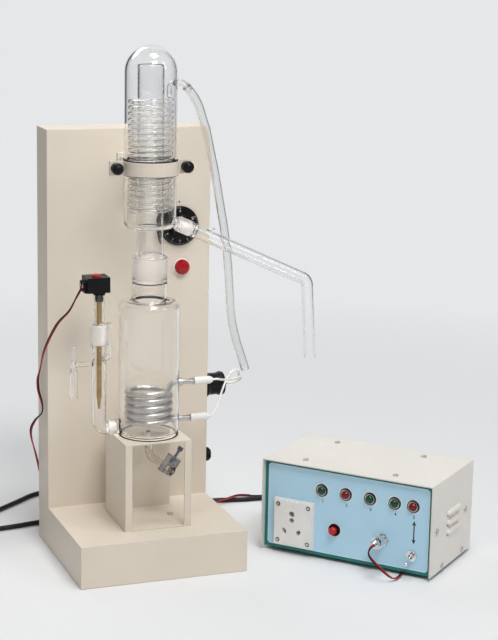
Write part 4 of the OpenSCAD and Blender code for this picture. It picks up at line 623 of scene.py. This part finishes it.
def dial_print():
    """Ticks and plain numbers on the dial's skirt. They run against the clock, so a clockwise turn reads higher."""
    def on_skirt(turn, at):
        def place(x, y, h):
            a = math.radians(turn) + math.pi / 2
            r = Vector((at + y, x))
            out = Vector((math.cos(a), math.sin(a))) * r.x - Vector((-math.sin(a), math.cos(a))) * r.y
            rise = SKIRT_T + SKIRT_RISE * (SKIRT_R - out.length) / (SKIRT_R - SKIRT_IN) + 0.03 + h
            return DIAL + Vector((out.x, -rise, out.y))
        return place

    bm = bmesh.new()
    for k in range(11):
        add_text(bm, str(k), 4.6, on_skirt(30 * k, 21.4))
    for k in range(51):
        tall = 2.0 if k % 5 == 0 else 1.1
        wide = 0.28 if k % 5 == 0 else 0.16
        add_shape(bm, [(-wide, -tall), (wide, -tall), (wide, 0), (-wide, 0)], on_skirt(6 * k, 26.6))
    part("dial_numbers", bm, "power_dial", INK_WHITE)

    bm = bmesh.new()
    add_shape(bm, [(-0.5, 4), (0.5, 4), (0.5, 13.5), (-0.5, 13.5)], lambda x, y, h: DIAL + Vector((x, -16.53 - h, y)))
    part("dial_line", bm, "power_dial", INK_WHITE)

    bm = bmesh.new()
    top = 31.5
    add_shape(bm, [(0, top), (1.6, top + 4), (-1.6, top + 4)], lambda x, y, h: DIAL + Vector((x, 1.77 - h, y)))
    part("dial_index", bm, "stand", BLACK_PRINT_AND_SHADE)


OUTLET_UV, OUTLET_W, OUTLET_H, OUTLET_FRONT = (50.8, 47.5), 62.5, 69, -1.0
LAMP_U, LAMP_V = (92, 129.4, 166.8, 204.4, 232.4), 103
RESET_UV = (113.2, 47.6)
FILM_FRONT = PANEL - 0.69


def on_panel(u, v, depth=FILM_FRONT):
    return lambda x, y, h: unit_point(u + x, depth - h, v + y)


def ring(low, high):
    return [(low, -PRINT_T), (high, -PRINT_T), (high, PRINT_T), (low, PRINT_T)]


def panel_print():
    # Painted halos: pale rings round the five lamps and the reset button, a light halo painted on the film.
    bm = bmesh.new()
    for u in LAMP_U:
        add_lathe(bm, ring(9.3, 11.4), on_panel(u, LAMP_V))
    add_lathe(bm, ring(9.3, 11.0), on_panel(*RESET_UV))
    part("panel_painted_halos", bm, "stand", PALE_LINE_AND_HALO)

    bm = bmesh.new()
    outline, inner = [], []
    for x, y, start in ((245, 116, 0), (5, 116, 90), (5, 5, 180), (245, 5, 270)):
        for k in range(7):
            a = math.radians(start + 15 * k)
            outline.append((x + 5 * math.cos(a), y + 5 * math.sin(a)))
            inner.append((x + 4 * math.cos(a), y + 4 * math.sin(a)))
    place = on_panel(7, 10)
    rows = [[bm.verts.new(place(x, y, h) * MM) for x, y in row]
            for row, h in ((outline, -PRINT_T), (outline, PRINT_T), (inner, PRINT_T), (inner, -PRINT_T))]
    for low, high in zip(rows, rows[1:] + rows[:1]):
        for k in range(len(low)):
            j = (k + 1) % len(low)
            bm.faces.new((low[k], low[j], high[j], high[k]))
    part("panel_edge", bm, "stand", PALE_LINE_AND_HALO)

    bm = bmesh.new()
    half = [(3.1, 10.2), (0.9, 11), (0.9, -11), (3.1, -10.2)]
    add_shape(bm, [(0, 17)] + half + [(0, -17)] + [(-x, -y) for x, y in half], on_panel(234.7, 65.3))
    for k, u in enumerate(LAMP_U):
        add_text(bm, str(k + 1), 6.2, on_panel(u + 1.5, LAMP_V - 15.8), 0.12)
    part("panel_marks", bm, "stand", BLACK_PRINT_AND_SHADE)


def bezel_rings():
    """The white ring between each lamp's black nut and its lens."""
    bm = bmesh.new()
    for u in LAMP_U:
        add_lathe(bm, [(5.76, 1.23), (6.28, 1.23), (7.42, 3.02), (7.3, 3.06), (6.15, 1.4), (5.76, 1.4)],
                  on_panel(u, LAMP_V, PANEL))
    part("lamp_rings", bm, "stand", WHITE, True)


def add_pan_screw(bm, at, way, radius, rise, slot):
    """A screw head with a cross recess: a low dome, and two dark bars sunk in it (material 1), which are painted
    shade in place of the recess's hollow.
    """
    turn = Vector(way).to_track_quat("Z", "Y").to_matrix()
    at = Vector(at)

    def place(x, y, h):
        return at + turn @ Vector((x, y, h))
    outline = [(0.01, rise), (radius * 0.45, rise * 0.96), (radius * 0.8, rise * 0.7),
               (radius, rise * 0.2), (radius, 0)]
    first = len(bm.faces)
    add_lathe(bm, outline, place, 24, closed=False)
    bm.faces.ensure_lookup_table()
    for f in bm.faces[first:]:
        f.material_index = 0
    # Painted shade: two flat dark bars mark the cross recess.
    for x, y in ((slot, slot * 0.22), (slot * 0.22, slot)):
        first = len(bm.faces)
        add_shape(bm, [(-x, -y), (x, -y), (x, y), (-x, y)], lambda a, b, h: place(a, b, rise + h * 2 - 0.02))
        bm.faces.ensure_lookup_table()
        for f in bm.faces[first:]:
            f.material_index = 1


def small_screws():
    """Cross-recessed heads on the terminals of the level head, their recesses shown as painted shade."""
    bm = bmesh.new()
    for y in (-6, 6):
        add_pan_screw(bm, (LEVEL_X - 25, GLASS.y + y, HEAD_Z + 9), (-1, 0, 0), 2.2, 1.1, 1.6)
    part("terminal_screws", bm, "stand", ZINC, False).data.materials.append(BLACK_PRINT_AND_SHADE)


def socket_wells():
    """Painted shade: thin dark rings on the socket plate round its four screws, standing in for the shade in the
    wells there.
    """
    bm = bmesh.new()
    for u in (-1, 1):
        for v in (-1, 1):
            place = on_panel(OUTLET_UV[0] + u * (OUTLET_W / 2 - 7.5),
                             OUTLET_UV[1] + v * (OUTLET_H / 2 - 7.5), OUTLET_FRONT)
            add_lathe(bm, [(2.02, 0), (3.3, 0), (3.3, 0.06), (2.02, 0.06)], place, 32)
    part("socket_wells", bm, "stand", BLACK_PRINT_AND_SHADE)


def gasket():
    """A thin ring in place of the CAD's rubber ring. It ends about 2 mm below the glass: a known fault."""
    bm = bmesh.new()
    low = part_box("boiler_gasket")[0]
    outline = [(38.9, 0), (41.0, 0), (41.7, 0.35), (41.9, 0.85), (41.7, 1.3), (41.1, 1.5), (40.2, 1.2), (38.9, 0.5)]
    add_lathe(bm, outline, lambda x, y, h: Vector((GLASS.x + x, GLASS.y + y, low[2] / MM + h)), 96)
    obj = part("gasket_ring", bm, "stand", RUBBER, True)
    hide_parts("boiler_gasket")


INK_WHITE = mottled(look("white_print", (0.8, 0.8, 0.78), 0.5), (0.82, 0.82, 0.80), (0.74, 0.74, 0.72), 300,
                    rough=(0.4, 0.6))
# Black for print (the dial index, the lamp numbers and the arrow) and for painted shade (the screw recesses and the
# socket's screw wells).
BLACK_PRINT_AND_SHADE = mottled(look("black_print_and_painted_shade", (0.01, 0.01, 0.015), 0.45), (0.012, 0.012, 0.018), (0.02, 0.02, 0.026), 300,
                    rough=(0.35, 0.55))
# Pale colour for the line along the film's edge and for the painted halos round the lamps.
PALE_LINE_AND_HALO = mottled(look("pale_line_and_painted_halo", (0.74, 0.86, 0.92), 0.42), (0.76, 0.88, 0.94), (0.71, 0.83, 0.89), 200,
                   rough=(0.36, 0.5))
dial_print()
panel_print()
bezel_rings()
small_screws()
socket_wells()
gasket()


# ---------------------------------------------------------------- room and light
FLOOR_COLOR, FAR_COLOR = (0.78, 0.79, 0.80), (0.79, 0.80, 0.81, 1)
SHADOW_NEAR, SHADOW_FAR = 0.6, 1.8
ACROSS_VIEW, VIEW_MIDDLE = (0.9345, -0.356, 0), 0.17
SIDE_DARK, SIDE_NEAR, SIDE_FAR = 0.1, 1.1, 1.9
WORLD_COLOR, WORLD_LIGHT, WORLD_SEEN = (0.94, 0.935, 0.94, 1), 0.31, 0.86
AIM = (0.05, -0.05, 0.35)
WHITE_LIGHT, WARM_LIGHT = (1, 1, 1), (1, 0.99, 0.975)
GLASS_BOUNCES = 48
LAMPS = (
    # name, place, size, watts, colour
    ("key", (0.1, -2.1, 2.8), (1.2, 0.8), 46, WARM_LIGHT),
    ("overhead", (0.3, -0.5, 3.1), (1.0, 1.0), 27, WHITE_LIGHT),
    ("right_box", (2.0, -1.7, 1.9), (0.35, 1.4), 9, WHITE_LIGHT),
    ("left_strip", (-1.9, -0.5, 0.9), (0.1, 1.5), 1, WHITE_LIGHT),
    ("rim", (-0.5, 1.6, 2.0), (1.6, 0.8), 12, WHITE_LIGHT),
)


def room():
    def tone(name, color):
        """Keeps the object's shadow near it, and turns evenly pale further back. Gloss and glass see dark sides."""
        m = bpy.data.materials.new(name)
        m.use_nodes = True
        tree = m.node_tree
        bsdf = tree.nodes["Principled BSDF"]
        bsdf.inputs["Base Color"].default_value = (*color, 1)
        bsdf.inputs["Roughness"].default_value = 0.9
        bsdf.inputs["Specular IOR Level"].default_value = 0.1
        path = put(tree, "ShaderNodeLightPath")
        seen = put(tree, "ShaderNodeMath", [(0, path.outputs["Is Camera Ray"]), (1, path.outputs["Is Glossy Ray"])],
                   operation="MAXIMUM").outputs[0]
        seen = put(tree, "ShaderNodeMath", [(0, seen), (1, path.outputs["Is Transmission Ray"])],
                   operation="MAXIMUM").outputs[0]
        where = put(tree, "ShaderNodeVectorMath", [(0, object_point(tree))], operation="LENGTH").outputs["Value"]
        far = spread(tree, where, 0, 1, SHADOW_NEAR, SHADOW_FAR)
        share = put(tree, "ShaderNodeMath", [(0, seen), (1, far)], operation="MULTIPLY").outputs[0]
        across = put(tree, "ShaderNodeVectorMath", [(0, object_point(tree))], operation="DOT_PRODUCT")
        across.inputs[1].default_value = ACROSS_VIEW
        off = put(tree, "ShaderNodeMath", [(0, across.outputs["Value"])], operation="SUBTRACT")
        off.inputs[1].default_value = VIEW_MIDDLE
        side = spread(tree, put(tree, "ShaderNodeMath", [(0, off.outputs[0])], operation="ABSOLUTE").outputs[0],
                      1, SIDE_DARK, SIDE_NEAR, SIDE_FAR)
        level = put(tree, "ShaderNodeMath", [(0, path.outputs["Is Camera Ray"]), (1, side)],
                    operation="MAXIMUM").outputs[0]
        pale = put(tree, "ShaderNodeEmission", [("Strength", level)], in_Color=FAR_COLOR)
        mixed = put(tree, "ShaderNodeMixShader", [(0, share), (1, bsdf.outputs[0]), (2, pale.outputs[0])])
        tree.links.new(mixed.outputs[0], tree.nodes["Material Output"].inputs["Surface"])
        return m

    bm = bmesh.new()
    outline = [(-6, 0)] + [(2.2 + 1.6 * math.sin(a), 1.6 - 1.6 * math.cos(a))
                           for a in (math.pi / 2 * i / 12 for i in range(13))] + [(3.8, 6)]
    turn = Matrix.Rotation(-CAMERA_YAW, 3, "Z")
    rows = [[bm.verts.new(turn @ Vector((x, y, z - 0.0004))) for y, z in outline] for x in (-8, 8)]
    for i in range(len(outline) - 1):
        bm.faces.new((rows[0][i], rows[1][i], rows[1][i + 1], rows[0][i + 1]))
    floor = new_object("floor", bm, [tone("pale_floor", FLOOR_COLOR)])

    world = bpy.data.worlds.new("studio")
    bpy.context.scene.world = world
    world.use_nodes = True
    tree = world.node_tree
    back = tree.nodes["Background"]
    back.inputs["Color"].default_value = WORLD_COLOR
    eye = put(tree, "ShaderNodeLightPath").outputs["Is Camera Ray"]
    tree.links.new(spread(tree, eye, WORLD_LIGHT, WORLD_SEEN, 0, 1), back.inputs["Strength"])

    for name, at, size, power, color in LAMPS:
        data = bpy.data.lights.new(name, "AREA")
        data.shape = "RECTANGLE"
        data.size, data.size_y = size
        data.energy = power
        data.color = color
        obj = bpy.data.objects.new(name, data)
        obj.location = at
        obj.rotation_euler = (Vector(AIM) - Vector(at)).to_track_quat("-Z", "Y").to_euler()
        bpy.context.collection.objects.link(obj)


room()
cycles = bpy.context.scene.cycles
cycles.max_bounces = cycles.transmission_bounces = cycles.transparent_max_bounces = GLASS_BOUNCES
bpy.context.scene.view_settings.view_transform = "Standard"
